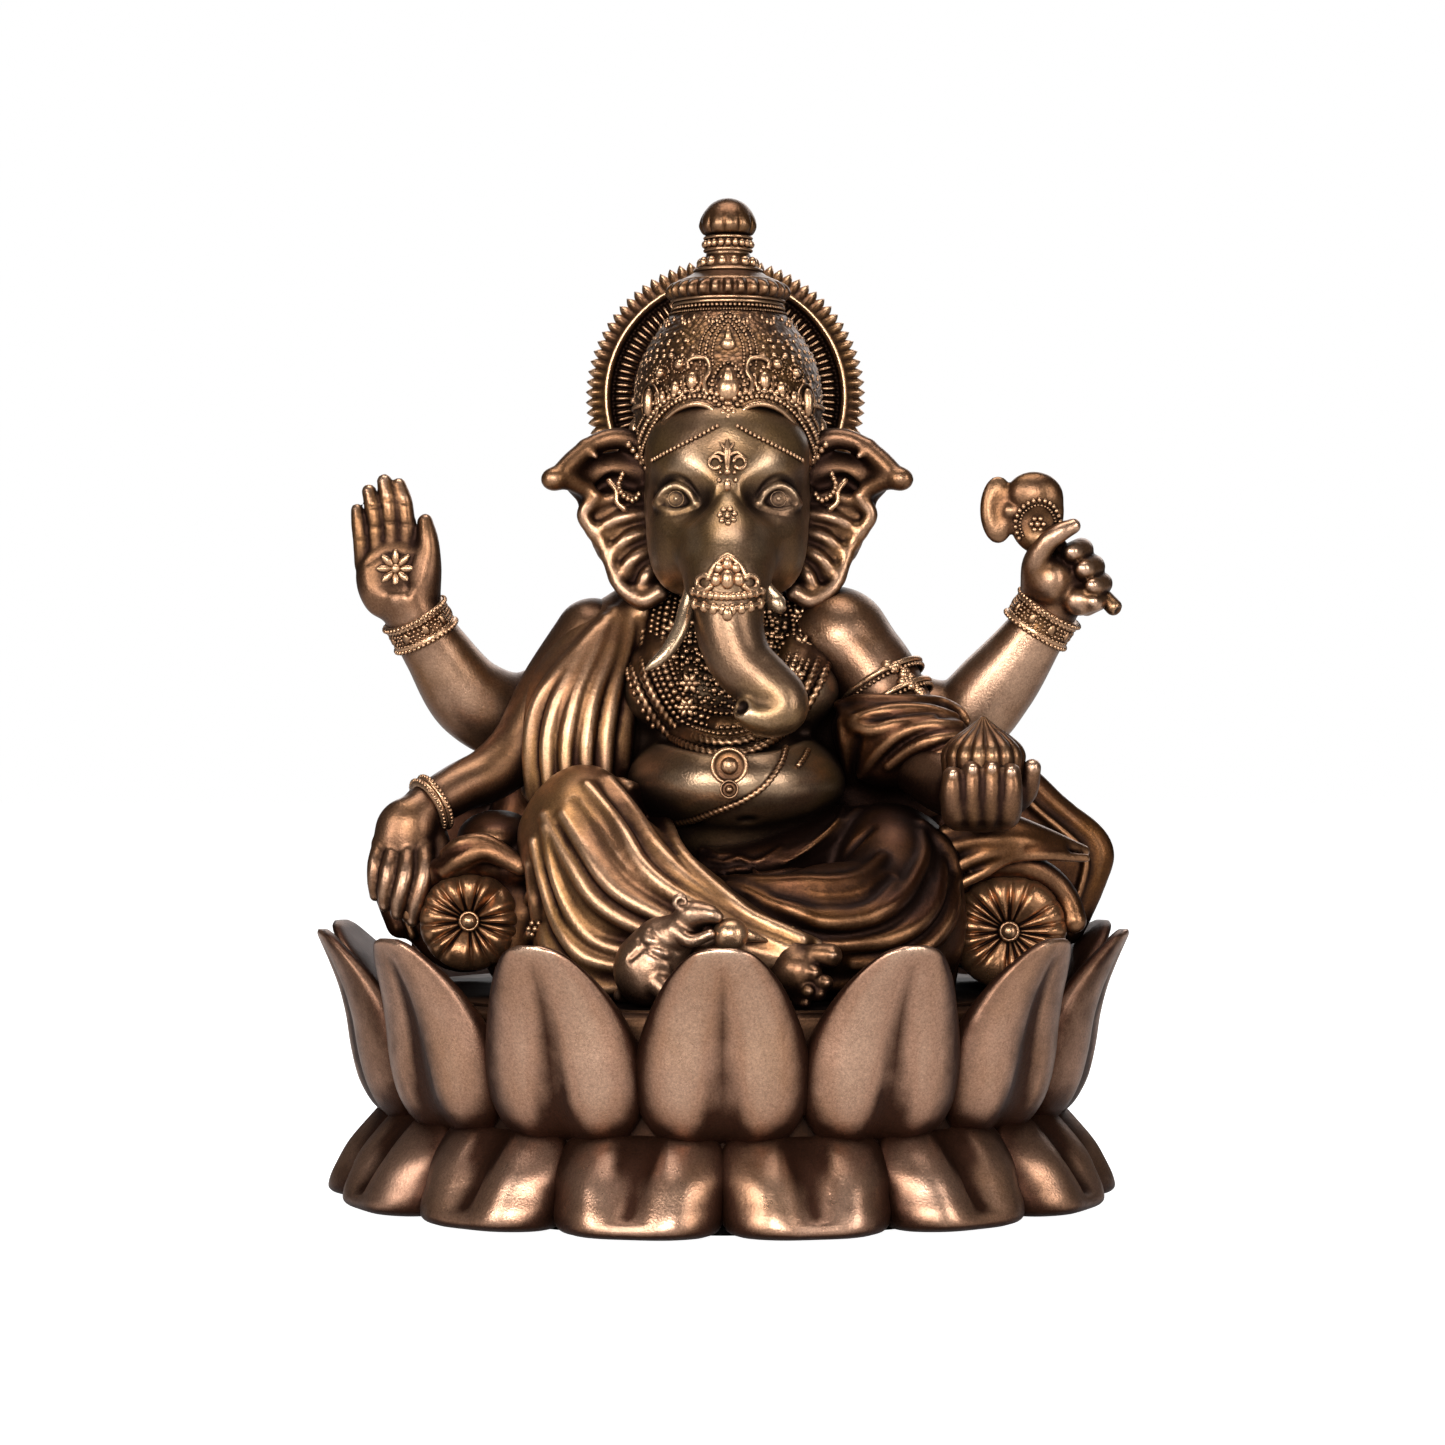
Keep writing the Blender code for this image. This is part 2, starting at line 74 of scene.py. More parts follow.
def spline(points, per_span=8):
    """A smooth curve through the points (Catmull-Rom). Works on rows of any width."""
    rows = np.asarray(points, float)
    if len(rows) < 3:
        steps = np.linspace(0, 1, per_span + 1)[:, None]
        return rows[0] + (rows[-1] - rows[0]) * steps
    ends = np.vstack([2 * rows[0] - rows[1], rows, 2 * rows[-1] - rows[-2]])
    out = []
    for i in range(len(rows) - 1):
        a, b, c, d = ends[i : i + 4]
        for t in np.arange(per_span) / per_span:
            bend, twist = 2 * a - 5 * b + 4 * c - d, 3 * b - a - 3 * c + d
            out.append(0.5 * (2 * b + (c - a) * t + bend * t**2 + twist * t**3))
    out.append(rows[-1])
    return np.array(out)


def evenly(path, pitch):
    """Points a pitch apart along a path."""
    path = np.asarray(path, float)
    travelled = np.concatenate([[0], np.cumsum(np.linalg.norm(np.diff(path[:, :3], axis=0), axis=1))])
    count = max(2, int(round(travelled[-1] / pitch)) + 1)
    marks = np.linspace(0, travelled[-1], count)
    return np.stack([np.interp(marks, travelled, path[:, i]) for i in range(path.shape[1])], axis=1)


def turn_matrix(degrees):
    """Rotation by degrees about X, then Y, then Z."""
    ax, ay, az = [math.radians(a) for a in degrees]
    rx = np.array([[1, 0, 0], [0, math.cos(ax), -math.sin(ax)], [0, math.sin(ax), math.cos(ax)]])
    ry = np.array([[math.cos(ay), 0, math.sin(ay)], [0, 1, 0], [-math.sin(ay), 0, math.cos(ay)]])
    rz = np.array([[math.cos(az), -math.sin(az), 0], [math.sin(az), math.cos(az), 0], [0, 0, 1]])
    return rz @ ry @ rx


# ---------------------------------------------------------------- clay


class Clay:
    """Distances to a lump's surface on a grid, negative inside."""

    def __init__(self, low, high, cell=0.5):
        self.low = np.asarray(low, float)
        self.cell = cell
        counts = np.ceil((np.asarray(high, float) - self.low) / cell).astype(int) + 1
        self.field = np.full(counts, FAR, np.float32)

    def window(self, low, high):
        """The part of the grid between two corners, and its coordinates."""
        first = np.floor((np.asarray(low) - self.low) / self.cell).astype(int)
        last = np.ceil((np.asarray(high) - self.low) / self.cell).astype(int) + 1
        first = np.clip(first, 0, self.field.shape)
        last = np.clip(last, 0, self.field.shape)
        slices = tuple(slice(a, b) for a, b in zip(first, last))
        axes = [
            (np.arange(a, b) * self.cell + o).astype(np.float32) for a, b, o in zip(first, last, self.low)]
        return slices, np.ix_(*axes)

    def merge(self, slices, distance, soft, cut=False):
        """Joins a shape to the lump, or cuts it away, with a fillet of about this size."""
        here = self.field[slices]
        if here.size == 0:
            return
        if cut:
            blend = np.clip(0.5 - 0.5 * (distance + here) / soft, 0, 1)
            self.field[slices] = here + (-distance - here) * blend + soft * blend * (1 - blend)
        else:
            blend = np.clip(0.5 + 0.5 * (here - distance) / soft, 0, 1)
            self.field[slices] = here + (distance - here) * blend - soft * blend * (1 - blend)

    def blob(self, centre, radii, turn=(0, 0, 0), soft=1.0, cut=False):
        """An ellipsoid."""
        centre, radii = np.asarray(centre, float), np.asarray(radii, float)
        reach = radii.max() + soft + 1
        slices, (x, y, z) = self.window(centre - reach, centre + reach)
        rows = turn_matrix(turn).T
        dx, dy, dz = x - centre[0], y - centre[1], z - centre[2]
        local = [(row[0] * dx + row[1] * dy + row[2] * dz).astype(np.float32) for row in rows]
        near = np.sqrt(sum((p / r) ** 2 for p, r in zip(local, radii)))
        slope = np.sqrt(sum((p / r**2) ** 2 for p, r in zip(local, radii))) + 1e-6
        self.merge(slices, near * (near - 1) / slope, soft, cut)

    def tube(self, points, radii, soft=1.0, cut=False, per_span=6, squash=None):
        """A limb, fold or groove along a smooth curve. squash is (axis, factor): thinner along axis."""
        rows = spline(np.column_stack([points, np.broadcast_to(radii, len(points))]), per_span)
        reach = rows[:, 3].max() + soft + 1
        stretch = np.ones(3)
        if squash:
            stretch[squash[0]] = 1 / squash[1]
        slices, _ = self.window(rows[:, :3].min(0) - reach, rows[:, :3].max(0) + reach)
        origin = [s.start for s in slices]
        distance = np.full(self.field[slices].shape, FAR, np.float32)
        for a, b in zip(rows, rows[1:]):
            grow = max(a[3], b[3]) + soft + 1
            part, grid = self.window(np.minimum(a, b)[:3] - grow, np.maximum(a, b)[:3] + grow)
            along = (b[:3] - a[:3]) * stretch
            length2 = along @ along + 1e-9
            d = [(g - c) * s for g, c, s in zip(grid, a[:3], stretch)]
            t = np.clip((d[0] * along[0] + d[1] * along[1] + d[2] * along[2]) / length2, 0, 1)
            off = sum((p - t * v) ** 2 for p, v in zip(d, along))
            inner = tuple(slice(s.start - o, s.stop - o) for s, o in zip(part, origin))
            piece = np.sqrt(off) - (a[3] + (b[3] - a[3]) * t)
            distance[inner] = np.minimum(distance[inner], piece)
        self.merge(slices, distance, soft, cut)

    def below(self, height, soft=0.4):
        """Cuts away everything under a height."""
        slices, (x, y, z) = self.window(self.low, self.low + np.array(self.field.shape) * self.cell)
        self.merge(slices, (z - height) + 0 * x + 0 * y, soft, cut=True)

    def front(self, x, z, lift=0.0):
        """The point of the surface that faces -Y at x and z, raised by lift."""
        i, k = [(v - o) / self.cell for v, o in zip((x, z), self.low[[0, 2]])]
        i0, k0 = int(np.clip(i, 0, self.field.shape[0] - 2)), int(np.clip(k, 0, self.field.shape[2] - 2))
        u, w = i - i0, k - k0
        column = (
            self.field[i0, :, k0] * (1 - u) * (1 - w) + self.field[i0 + 1, :, k0] * u * (1 - w)
            + self.field[i0, :, k0 + 1] * (1 - u) * w + self.field[i0 + 1, :, k0 + 1] * u * w
        )
        inside = np.flatnonzero(column < 0)
        if not len(inside):
            return vec(x, self.low[1] + int(np.argmin(column)) * self.cell - lift, z)
        j = max(inside[0], 1)
        share = column[j - 1] / (column[j - 1] - column[j])
        return vec(x, self.low[1] + (j - 1 + share) * self.cell - lift, z)

    def fronts(self, points, lift=0.0, per_span=6):
        """A smooth line of (x, z) points laid on the front of the lump."""
        return np.array([self.front(x, z, lift) for x, z in spline(points, per_span)])

    def mesh(self):
        """Surface nets: a point in each cell that the surface crosses, a quad round each crossed edge."""
        field = self.field
        for axis in range(3):
            for end in (0, -1):
                edge = [slice(None)] * 3
                edge[axis] = end
                field[tuple(edge)] = np.maximum(field[tuple(edge)], 0.01)
        inside = field < 0
        corners = [(i, j, k) for i in (0, 1) for j in (0, 1) for k in (0, 1)]
        spans = [slice(0, -1), slice(1, None)]
        full = sum(inside[spans[i], spans[j], spans[k]].astype(np.uint8) for i, j, k in corners)
        cells = np.argwhere((full > 0) & (full < 8))
        values = np.stack([field[tuple((cells + c).T)] for c in corners], axis=1)
        total, crossings = np.zeros((len(cells), 3)), np.zeros(len(cells))
        for a, first in enumerate(corners):
            for b, second in enumerate(corners):
                if b > a and sum(abs(p - q) for p, q in zip(first, second)) == 1:
                    hit = (values[:, a] < 0) != (values[:, b] < 0)
                    share = values[hit, a] / (values[hit, a] - values[hit, b])
                    total[hit] += np.array(first) + share[:, None] * (np.array(second) - np.array(first))
                    crossings[hit] += 1
        points = (cells + total / crossings[:, None]) * self.cell + self.low
        number = np.full(full.shape, -1, np.int64)
        number[tuple(cells.T)] = np.arange(len(cells))
        quads = []
        for axis in range(3):
            step, across, up = np.eye(3, dtype=int)[[axis, (axis + 1) % 3, (axis + 2) % 3]]
            near = [slice(0, -1) if i == axis else slice(1, -1) for i in range(3)]
            far = [slice(1, None) if i == axis else slice(1, -1) for i in range(3)]
            start = inside[tuple(near)]
            crossed = np.argwhere(start != inside[tuple(far)])
            starts = crossed + (1 - step)
            outward = start[tuple(crossed.T)]
            ring = [starts, starts - across, starts - across - up, starts - up]
            ids = np.stack([number[tuple(c.T)] for c in ring], axis=1)
            quads.append(np.where(outward[:, None], ids, ids[:, ::-1]))
        return points, np.vstack(quads)


# ---------------------------------------------------------------- trim


# how far a cord's rounded end stands out, and the size of its last ring, in radii
CAP = 0.7


def tube_quads(levels, sides):
    """Quads that join rings of points and close both ends on the two points that follow the rings."""
    ids = np.arange(levels * sides).reshape(levels, sides)
    after = np.roll(ids, -1, axis=1)
    body = np.stack([ids[:-1], after[:-1], after[1:], ids[1:]], axis=-1).reshape(-1, 4)
    low, high = np.full(sides, levels * sides), np.full(sides, levels * sides + 1)
    start = np.stack([after[0], ids[0], low, low], axis=-1)
    end = np.stack([ids[-1], after[-1], high, high], axis=-1)
    return np.vstack([body, start, end])


def lathe(x, y, profile, sides, flute=None):
    """Rings round the vertical axis at x and y, from (height, radius) rows.

    flute(angle, height), if given, scales the radius."""
    rings = []
    for z, radius in profile:
        ring = []
        for angle in np.linspace(0, 2 * math.pi, sides, endpoint=False):
            r = radius * flute(angle, z) if flute else radius
            ring.append((x + r * math.cos(angle), y + r * math.sin(angle), z))
        rings.append(ring)
    return rings


def ellipse(centre, across, rise, count):
    """A closed line of points round a centre. across and rise are its two half axes."""
    angles = np.linspace(0, 2 * math.pi, count)
    return [np.asarray(centre) + math.cos(a) * across + math.sin(a) * rise for a in angles]


class Trim:
    """Beads, cords and lofted shapes gathered into one mesh."""

    def __init__(self):
        self.points, self.quads, self.count = [], [], 0

    def put(self, points, quads):
        """Adds a closed shape, turned right side out."""
        points, quads = np.asarray(points, float), np.asarray(quads, int)
        a, b, c, d = (points[quads[:, i]] - points[0] for i in range(4))
        if np.einsum("ij,ij->i", a, np.cross(b, c) + np.cross(c, d)).sum() < 0:
            quads = np.where((quads[:, 2] == quads[:, 3])[:, None], quads[:, [1, 0, 2, 3]], quads[:, ::-1])
        self.points.append(points)
        self.quads.append(quads + self.count)
        self.count += len(points)

    def loft(self, rings):
        """Rings of equal length, joined and closed at both ends by a point in the middle."""
        rings = np.asarray(rings, float)
        points = np.vstack([rings.reshape(-1, 3), rings[0].mean(0), rings[-1].mean(0)])
        self.put(points, tube_quads(*rings.shape[:2]))

    def pipe(self, path, radii, sides=8, squash=1.0, up=(0, 1, 0), twist=None):
        """A round-ended cord. squash thins it towards up; twist(i, angles) scales the ring's radius."""
        path = np.asarray(path, float)
        radii = np.broadcast_to(np.asarray(radii, float), len(path)).copy()
        along = unit(np.gradient(path, axis=0))
        across = unit(np.cross(along, np.asarray(up, float)))
        rise = np.cross(across, along) * squash
        angles = np.linspace(0, 2 * math.pi, sides, endpoint=False)

        def ring(i, scale):
            return np.outer(np.cos(angles) * scale, across[i]) + np.outer(np.sin(angles) * scale, rise[i])

        def end(i, way):
            return path[i] + radii[i] * CAP * (way * along[i] + ring(i, 1))

        scales = [twist(i, angles) if twist else 1 for i in range(len(path))]
        body = [path[i] + radii[i] * ring(i, scale) for i, scale in enumerate(scales)]
        self.loft([end(0, -1), *body, end(-1, 1)])

    def bead(self, centre, radii, turn=None, rings=6, sides=10):
        """A small ellipsoid."""
        radii = np.broadcast_to(np.asarray(radii, float), 3)
        tilt = np.linspace(-math.pi / 2, math.pi / 2, rings + 1)[1:-1]
        around = np.linspace(0, 2 * math.pi, sides, endpoint=False)
        shape = np.stack(
            [np.outer(np.cos(tilt), np.cos(around)), np.outer(np.cos(tilt), np.sin(around)),
             np.outer(np.sin(tilt), np.ones(sides))], axis=-1)
        shape = shape * radii
        poles = np.array([[0, 0, -radii[2]], [0, 0, radii[2]]])
        if turn is not None:
            shape, poles = shape @ np.asarray(turn).T, poles @ np.asarray(turn).T
        points = np.vstack([shape.reshape(-1, 3), poles]) + np.asarray(centre, float)
        self.put(points, tube_quads(len(tilt), sides))

    def beads(self, path, radius, pitch=None):
        """A string of beads along a path, touching unless a pitch is given."""
        for point in evenly(path, pitch or 2 * radius):
            self.bead(point, radius)

    def bead_ring(self, centre, across, rise, count, radii, start=0.0, **shape):
        """Beads at equal angles round a centre. across and rise are the ring's two half axes."""
        for i in range(count):
            angle = 2 * math.pi * (i + start) / count
            self.bead(centre + math.cos(angle) * across + math.sin(angle) * rise, radii, **shape)

    def rosette(self, at):
        """A flower of six beads round a seventh, on a face that looks towards -Y."""
        self.bead_ring(at, vec(1, 0, 0), vec(0, 0, 1), 6, 0.5)
        self.bead(at + vec(0, -0.2, 0), 0.55)

    def hoop(self, x, y, z, radius, size, count=73):
        """A round cord that lies level."""
        ring = ellipse((x, y, z), vec(radius, 0, 0), vec(0, radius, 0), count)
        self.pipe(ring, size, sides=8, up=(0, 0, 1))

    def rope(self, path, radius, pitch=2.4, strands=2, sides=12, up=(0, 1, 0)):
        """A twisted cord."""
        path = evenly(path, radius * 0.5)
        lay = 2 * math.pi * radius * 0.5 / pitch

        def twist(i, angles):
            return 0.82 + 0.18 * np.cos(strands * (angles + lay * i))

        self.pipe(path, radius, sides=sides, up=up, twist=twist)

    def add(self, other, matrix):
        """A copy of another trim, turned and scaled by the matrix."""
        self.put(np.vstack(other.points) @ matrix.T, np.vstack(other.quads))

    def mesh(self):
        return np.vstack(self.points), np.vstack(self.quads)


# ---------------------------------------------------------------- pieces


def ring_frame(axis):
    """Two directions across an axis."""
    axis = unit(axis)
    side = unit(np.cross(axis, (0, 0, 1) if abs(axis[2]) < 0.9 else (1, 0, 0)))
    return side, np.cross(axis, side)


def relief(points, quads, rounds):
    """How far each point stands proud of its surroundings, in mm, and the normals.

    It is above 0 on ridges and below 0 in hollows. More rounds of smoothing see wider ones."""
    links = np.vstack([quads[:, [0, 1]], quads[:, [1, 2]], quads[:, [2, 3]], quads[:, [3, 0]]])
    links = links[links[:, 0] != links[:, 1]]
    links = np.vstack([links, links[:, ::-1]])
    count = np.bincount(links[:, 0], minlength=len(points)).astype(float)[:, None]
    smooth = points.copy()
    for _ in range(rounds):
        columns = smooth[links[:, 1]].T
        summed = np.stack([np.bincount(links[:, 0], column, len(points)) for column in columns], axis=1)
        smooth = 0.4 * smooth + 0.6 * summed / np.maximum(count, 1)
    diagonal_a = points[quads[:, 2]] - points[quads[:, 0]]
    diagonal_b = points[quads[:, 3]] - points[quads[:, 1]]
    faces = np.cross(diagonal_a, diagonal_b)
    normals = np.zeros_like(points)
    for column in range(4):
        for i in range(3):
            normals[:, i] += np.bincount(quads[:, column], faces[:, i], len(points))
    normals = unit(normals)
    return np.einsum("ij,ij->i", points - smooth, normals), normals


def mesh_of(name, points, quads, proud):
    """A smooth mesh in metres that carries its relief, with painted highlights and shade added in. A quad
    that repeats its last point is a triangle.
    """
    flat = quads[:, 2] == quads[:, 3]
    triangles = quads[flat][:, :3]
    quads = quads[~flat]
    mesh = bpy.data.meshes.new(name)
    mesh.vertices.add(len(points))
    mesh.vertices.foreach_set("co", (points * MM).astype(np.float32).ravel())
    corners = np.concatenate([quads.ravel(), triangles.ravel()]).astype(np.int32)
    mesh.loops.add(len(corners))
    mesh.loops.foreach_set("vertex_index", corners)
    starts = np.concatenate([np.arange(len(quads)) * 4, len(quads) * 4 + np.arange(len(triangles)) * 3])
    mesh.polygons.add(len(starts))
    mesh.polygons.foreach_set("loop_start", starts.astype(np.int32))
    mesh.update(calc_edges=True)
    mesh.validate()
    mesh.shade_smooth()
    attribute = mesh.attributes.new("relief", "FLOAT", "POINT")
    attribute.data.foreach_set("value", proud.astype(np.float32))
    return mesh


def piece(name, slot, material, replaced, *parts, rounds=14, painted_light=None, turned=0.14, patina_and_painted_light=0.0):
    """One visible casting, made of clay and trim, that stands for the replaced CAD nodes.

    Its relief attribute tells the material what is worn bright and what stays dark, and it also
    carries painted highlights and painted shade. wear, the petals' painted highlights and shade, if
    given, takes the place of the measured relief. turned paints shade on faces that look away from
    the figure's front. patina, a number or a function of x, y and z, is added on top: painted
    highlights and shade on some pieces, plain darkening on others."""
    meshes = [part.mesh() for part in parts]
    proud = []
    for p, q in meshes:
        stands, normals = relief(p, q, rounds)
        # painted shade on faces that look away from the figure's front; painted light and patina go on top
        away = np.clip(2.5 + 2.5 * normals[:, 1], 0, 1) ** 1.3
        here = patina_and_painted_light(*p.T) if callable(patina_and_painted_light) else patina_and_painted_light
        proud.append((stands if painted_light is None else painted_light) - turned * away + here)
    start, quads = 0, []
    for p, q in meshes:
        quads.append(q + start)
        start += len(p)
    mesh = mesh_of(name, np.vstack([p for p, _ in meshes]), np.vstack(quads), np.concatenate(proud))
    mesh.materials.append(material)
    obj = bpy.data.objects.new(name, mesh)
    bpy.context.scene.collection.objects.link(obj)
    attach(obj, "root")
    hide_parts(*replaced)
    return obj


# ---------------------------------------------------------------- materials


class Graph:
    """Shorthand for wiring a material's nodes."""

    def __init__(self, material):
        material.use_nodes = True
        self.tree = material.node_tree

    def link(self, source, target):
        self.tree.links.new(source, target)

    def node(self, kind, **values):
        made = self.tree.nodes.new(kind)
        for key, value in values.items():
            setattr(made, key, value)
        return made

    def feed(self, socket, value):
        """Gives a socket an output, a colour or a number."""
        if hasattr(value, "is_output"):
            self.link(value, socket)
        elif isinstance(value, tuple):
            socket.default_value = (*value, 1.0)
        else:
            socket.default_value = value

    def math(self, operation, a, b, clamp=False):
        made = self.node("ShaderNodeMath", operation=operation, use_clamp=clamp)
        self.feed(made.inputs[0], a)
        self.feed(made.inputs[1], b)
        return made.outputs[0]

    def mix(self, factor, first, second):
        """One colour turning into another. Sockets 6 and 7 are the node's colour inputs."""
        made = self.node("ShaderNodeMix", data_type="RGBA")
        for number, value in ((0, factor), (6, first), (7, second)):
            self.feed(made.inputs[number], value)
        return made.outputs[2]

    def noise(self, place, scale, detail, roughness=0.6):
        made = self.node("ShaderNodeTexNoise")
        inputs = {"Vector": place, "Scale": scale, "Detail": detail, "Roughness": roughness}
        for name, value in inputs.items():
            self.feed(made.inputs[name], value)
        return made.outputs["Fac"]


def three_tone(name, dark, body, bright, gold, rough=0.33, metallic=0.9, gold_amount=0.5, grain=1.1,
               stain=0.9, hollow=3.0, reach=7.0, chased=0.0):
    """Cold-cast bronze: dark antiquing in the hollows, body colour between, and edges worn bright.

    The relief attribute and an occlusion ray, reach mm long, say where the hollows and edges are. The
    relief attribute also carries each piece's painted highlights and painted shade.
    Fine grain and larger clouds vary the colour, towards gold in places, and the polish. chased,
    in mm, covers the surface with small raised grains of that size, as on worked ornament. The
    felt and the steel pins are made in the same way, with other tones and polish."""
    material = bpy.data.materials.new(name)
    graph = Graph(material)
    shader = graph.tree.nodes["Principled BSDF"]
    shader.inputs["Metallic"].default_value = metallic

    place = graph.node("ShaderNodeTexCoord").outputs["Object"]

    clouds = graph.noise(place, 55.0, 3.0)
    patches = graph.noise(place, 260.0, 4.0)
    speckle = graph.noise(place, 2600.0, 2.0, 0.7)
    fine = graph.noise(place, 6500.0, 1.0, 0.5)
    proud = graph.node("ShaderNodeAttribute", attribute_name="relief").outputs["Fac"]
    shade = graph.node("ShaderNodeAmbientOcclusion", samples=6)
    shade.inputs["Distance"].default_value = reach * MM
    open_air = shade.outputs["AO"]

    # depth runs from 0 in the open to 1 deep in a hollow, edge from 0 to 1 on a rubbed edge
    jitter = graph.math("MULTIPLY", graph.math("SUBTRACT", patches, 0.5), stain)
    # painted shade in the relief attribute darkens like a hollow here; its painted highlights brighten the
    # edges
    sunk = graph.math("MULTIPLY", proud, -hollow)
    shut_in = graph.math("SUBTRACT", 0.90, open_air)
    depth = graph.math("ADD", graph.math("MULTIPLY", shut_in, 1.9), sunk)
    depth = graph.math("ADD", depth, jitter)
    if chased:
        cells = graph.node("ShaderNodeTexVoronoi")
        graph.link(place, cells.inputs["Vector"])
        cells.inputs["Scale"].default_value = 1 / (chased * MM)
        between = graph.math("SUBTRACT", cells.outputs["Distance"], 0.36)
        depth = graph.math("ADD", depth, graph.math("MULTIPLY", between, 1.5))
    drift = graph.math("MULTIPLY", graph.math("SUBTRACT", clouds, 0.5), stain)
    depth = graph.math("ADD", depth, drift, clamp=True)
    edge = graph.math("MULTIPLY", proud, 3.6)
    edge = graph.math("ADD", edge, graph.math("MULTIPLY", jitter, 0.7))
    edge = graph.math("SUBTRACT", edge, graph.math("MULTIPLY", shut_in, 0.5), clamp=True)

    golden = graph.math("SUBTRACT", clouds, 0.42, clamp=True)
    golden = graph.math("MULTIPLY", golden, 3.0 * gold_amount, clamp=True)
    tinted = graph.mix(golden, body, gold)
    worn = graph.mix(edge, tinted, bright)
    coloured = graph.mix(depth, worn, dark)
    spots = graph.math("MULTIPLY", graph.math("SUBTRACT", speckle, 0.5), grain)
    spots = graph.math("ADD", spots, graph.math("MULTIPLY", graph.math("SUBTRACT", fine, 0.5), grain * 0.6))
    value = graph.node("ShaderNodeHueSaturation")
    value.inputs["Saturation"].default_value = 1.05
    graph.link(coloured, value.inputs["Color"])
    graph.link(graph.math("ADD", spots, 1.0), value.inputs["Value"])
    graph.link(value.outputs["Color"], shader.inputs["Base Color"])

    polish = graph.math("MULTIPLY", graph.math("SUBTRACT", patches, 0.5), 0.16)
    gloss = graph.math("ADD", polish, graph.math("MULTIPLY", depth, 0.18))
    gloss = graph.math("SUBTRACT", gloss, graph.math("MULTIPLY", edge, 0.06))
    graph.link(graph.math("ADD", gloss, rough, clamp=True), shader.inputs["Roughness"])

    bump = graph.node("ShaderNodeBump")
    bump.inputs["Strength"].default_value = 0.6
    bump.inputs["Distance"].default_value = 0.08 * MM
    height = graph.math("ADD", graph.math("MULTIPLY", speckle, 0.9), graph.math("MULTIPLY", fine, 0.25))
    if chased:
        height = graph.math("SUBTRACT", height, graph.math("MULTIPLY", between, 3.2))
    graph.link(height, bump.inputs["Height"])
    graph.link(bump.outputs["Normal"], shader.inputs["Normal"])
    return material


# ---------------------------------------------------------------- lotus base

PETALS = 14
PETAL_SIDES = 56
REACH_VARIES = 0.004
# height, distance from the axis of the petal's front, half width, thickness
UPPER_PETAL = [
    (13.6, 53.6, 4.0, 3.2),
    (14.4, 55.4, 8.4, 4.6),
    (16.4, 57.2, 10.9, 5.8),
    (20.0, 59.0, 12.7, 8.2),
    (25.0, 60.2, 13.1, 8.4),
    (30.0, 61.0, 12.3, 7.4),
    (34.5, 62.2, 10.7, 6.0),
    (38.5, 63.8, 8.7, 4.6),
    (41.5, 65.2, 6.4, 3.2),
    (43.2, 66.0, 4.4, 2.5),
    (44.0, 66.0, 2.2, 1.6),
]
LOWER_PETAL = [
    (16.0, 54.2, 8.0, 2.4),
    (14.6, 55.8, 11.2, 3.8),
    (12.2, 57.6, 12.6, 5.6),
    (9.4, 59.6, 13.2, 7.6),
    (6.4, 61.4, 12.9, 9.8),
    (4.0, 62.9, 12.9, 11.2),
    (2.2, 63.7, 12.4, 11.8),
    (1.3, 63.4, 11.6, 11.4),
    (0.8, 62.2, 10.2, 10.2),
]


def petal_rings(profile, levels, groove, lobes):
    """Level slices of a petal that faces +X: bulged outside, flatter inside, grooved down the middle.

    Also gives the painted light of each point: painted highlights on the lobes and the lip, painted
    shade at the edges and in the groove."""
    rows = spline(profile, 12)
    rows = rows[np.linspace(0, len(rows) - 1, levels).round().astype(int)]
    angles = np.linspace(0, 2 * math.pi, PETAL_SIDES, endpoint=False)
    top = max(row[0] for row in profile)
    is_upper = top > 30
    rings, painted_light = [], []
    for height, front, half, thick in rows:
        side = np.sign(np.cos(angles)) * np.abs(np.cos(angles)) ** 0.8 * half
        out = np.sin(angles)
        bulge = np.where(out > 0, np.abs(out) ** 0.95, -np.abs(out) ** 0.6)
        radial = front - thick / 2 + bulge * thick / 2
        # the petal wraps round the drum
        radial = radial - 0.45 * side**2 / front
        outside = np.clip(out * 4, 0, 1)
        lobe = np.exp(-(((np.abs(side) / half) - 0.52) / 0.30) ** 2)
        sunk = groove(side, height)
        swell = lobes * lobe * np.sin(math.pi * np.clip((top - height) / top, 0, 1))
        radial = radial + outside * (swell - sunk)
        rings.append(np.column_stack([radial, side, np.full(PETAL_SIDES, height)]))
        # painted highlights on the lobes and lip; painted shade at the edges, in the groove, at the foot and
        # inside
        edge = np.clip((np.abs(side) / half - 0.62) / 0.38, 0, 1) ** 1.5
        low_edge = np.clip((4.0 - (height - rows[:, 0].min())) / 4.0, 0, 1)
        lip = np.exp(-((height - top) / 1.2) ** 2) * is_upper
        valley = np.clip(sunk, 0, 1)
        face = 0.09 - 0.32 * edge - 0.36 * valley - 0.16 * low_edge * is_upper
        painted_light.append(outside * face + 0.14 * lip - 0.10 * (1 - outside))
    return rings, np.concatenate([*painted_light, [0.0, 0.0]])


def upper_groove(side, height):
    """A valley that starts as a point near the tip and widens to a pair of lobes at the foot."""
    fall = np.clip((41.5 - height) / 27, 0, 1)
    width = 0.7 + 2.6 * fall
    depth = 1.7 * fall**0.6
    return depth * np.exp(-np.abs(side / width) ** 2.0)


def lower_groove(side, height):
    """A channel that widens upwards, with a rib in it."""
    rise = np.clip((height - 3.2) / 10.5, 0, 1)
    width = 0.75 + 1.9 * rise
    depth = 2.7 * np.clip((height - 3.2) / 3.6, 0, 1) ** 0.7
    rib = 0.9 * rise * np.exp(-((side / width) / 0.30) ** 2)
    return depth * np.exp(-np.abs(side / width) ** 2.6) - rib


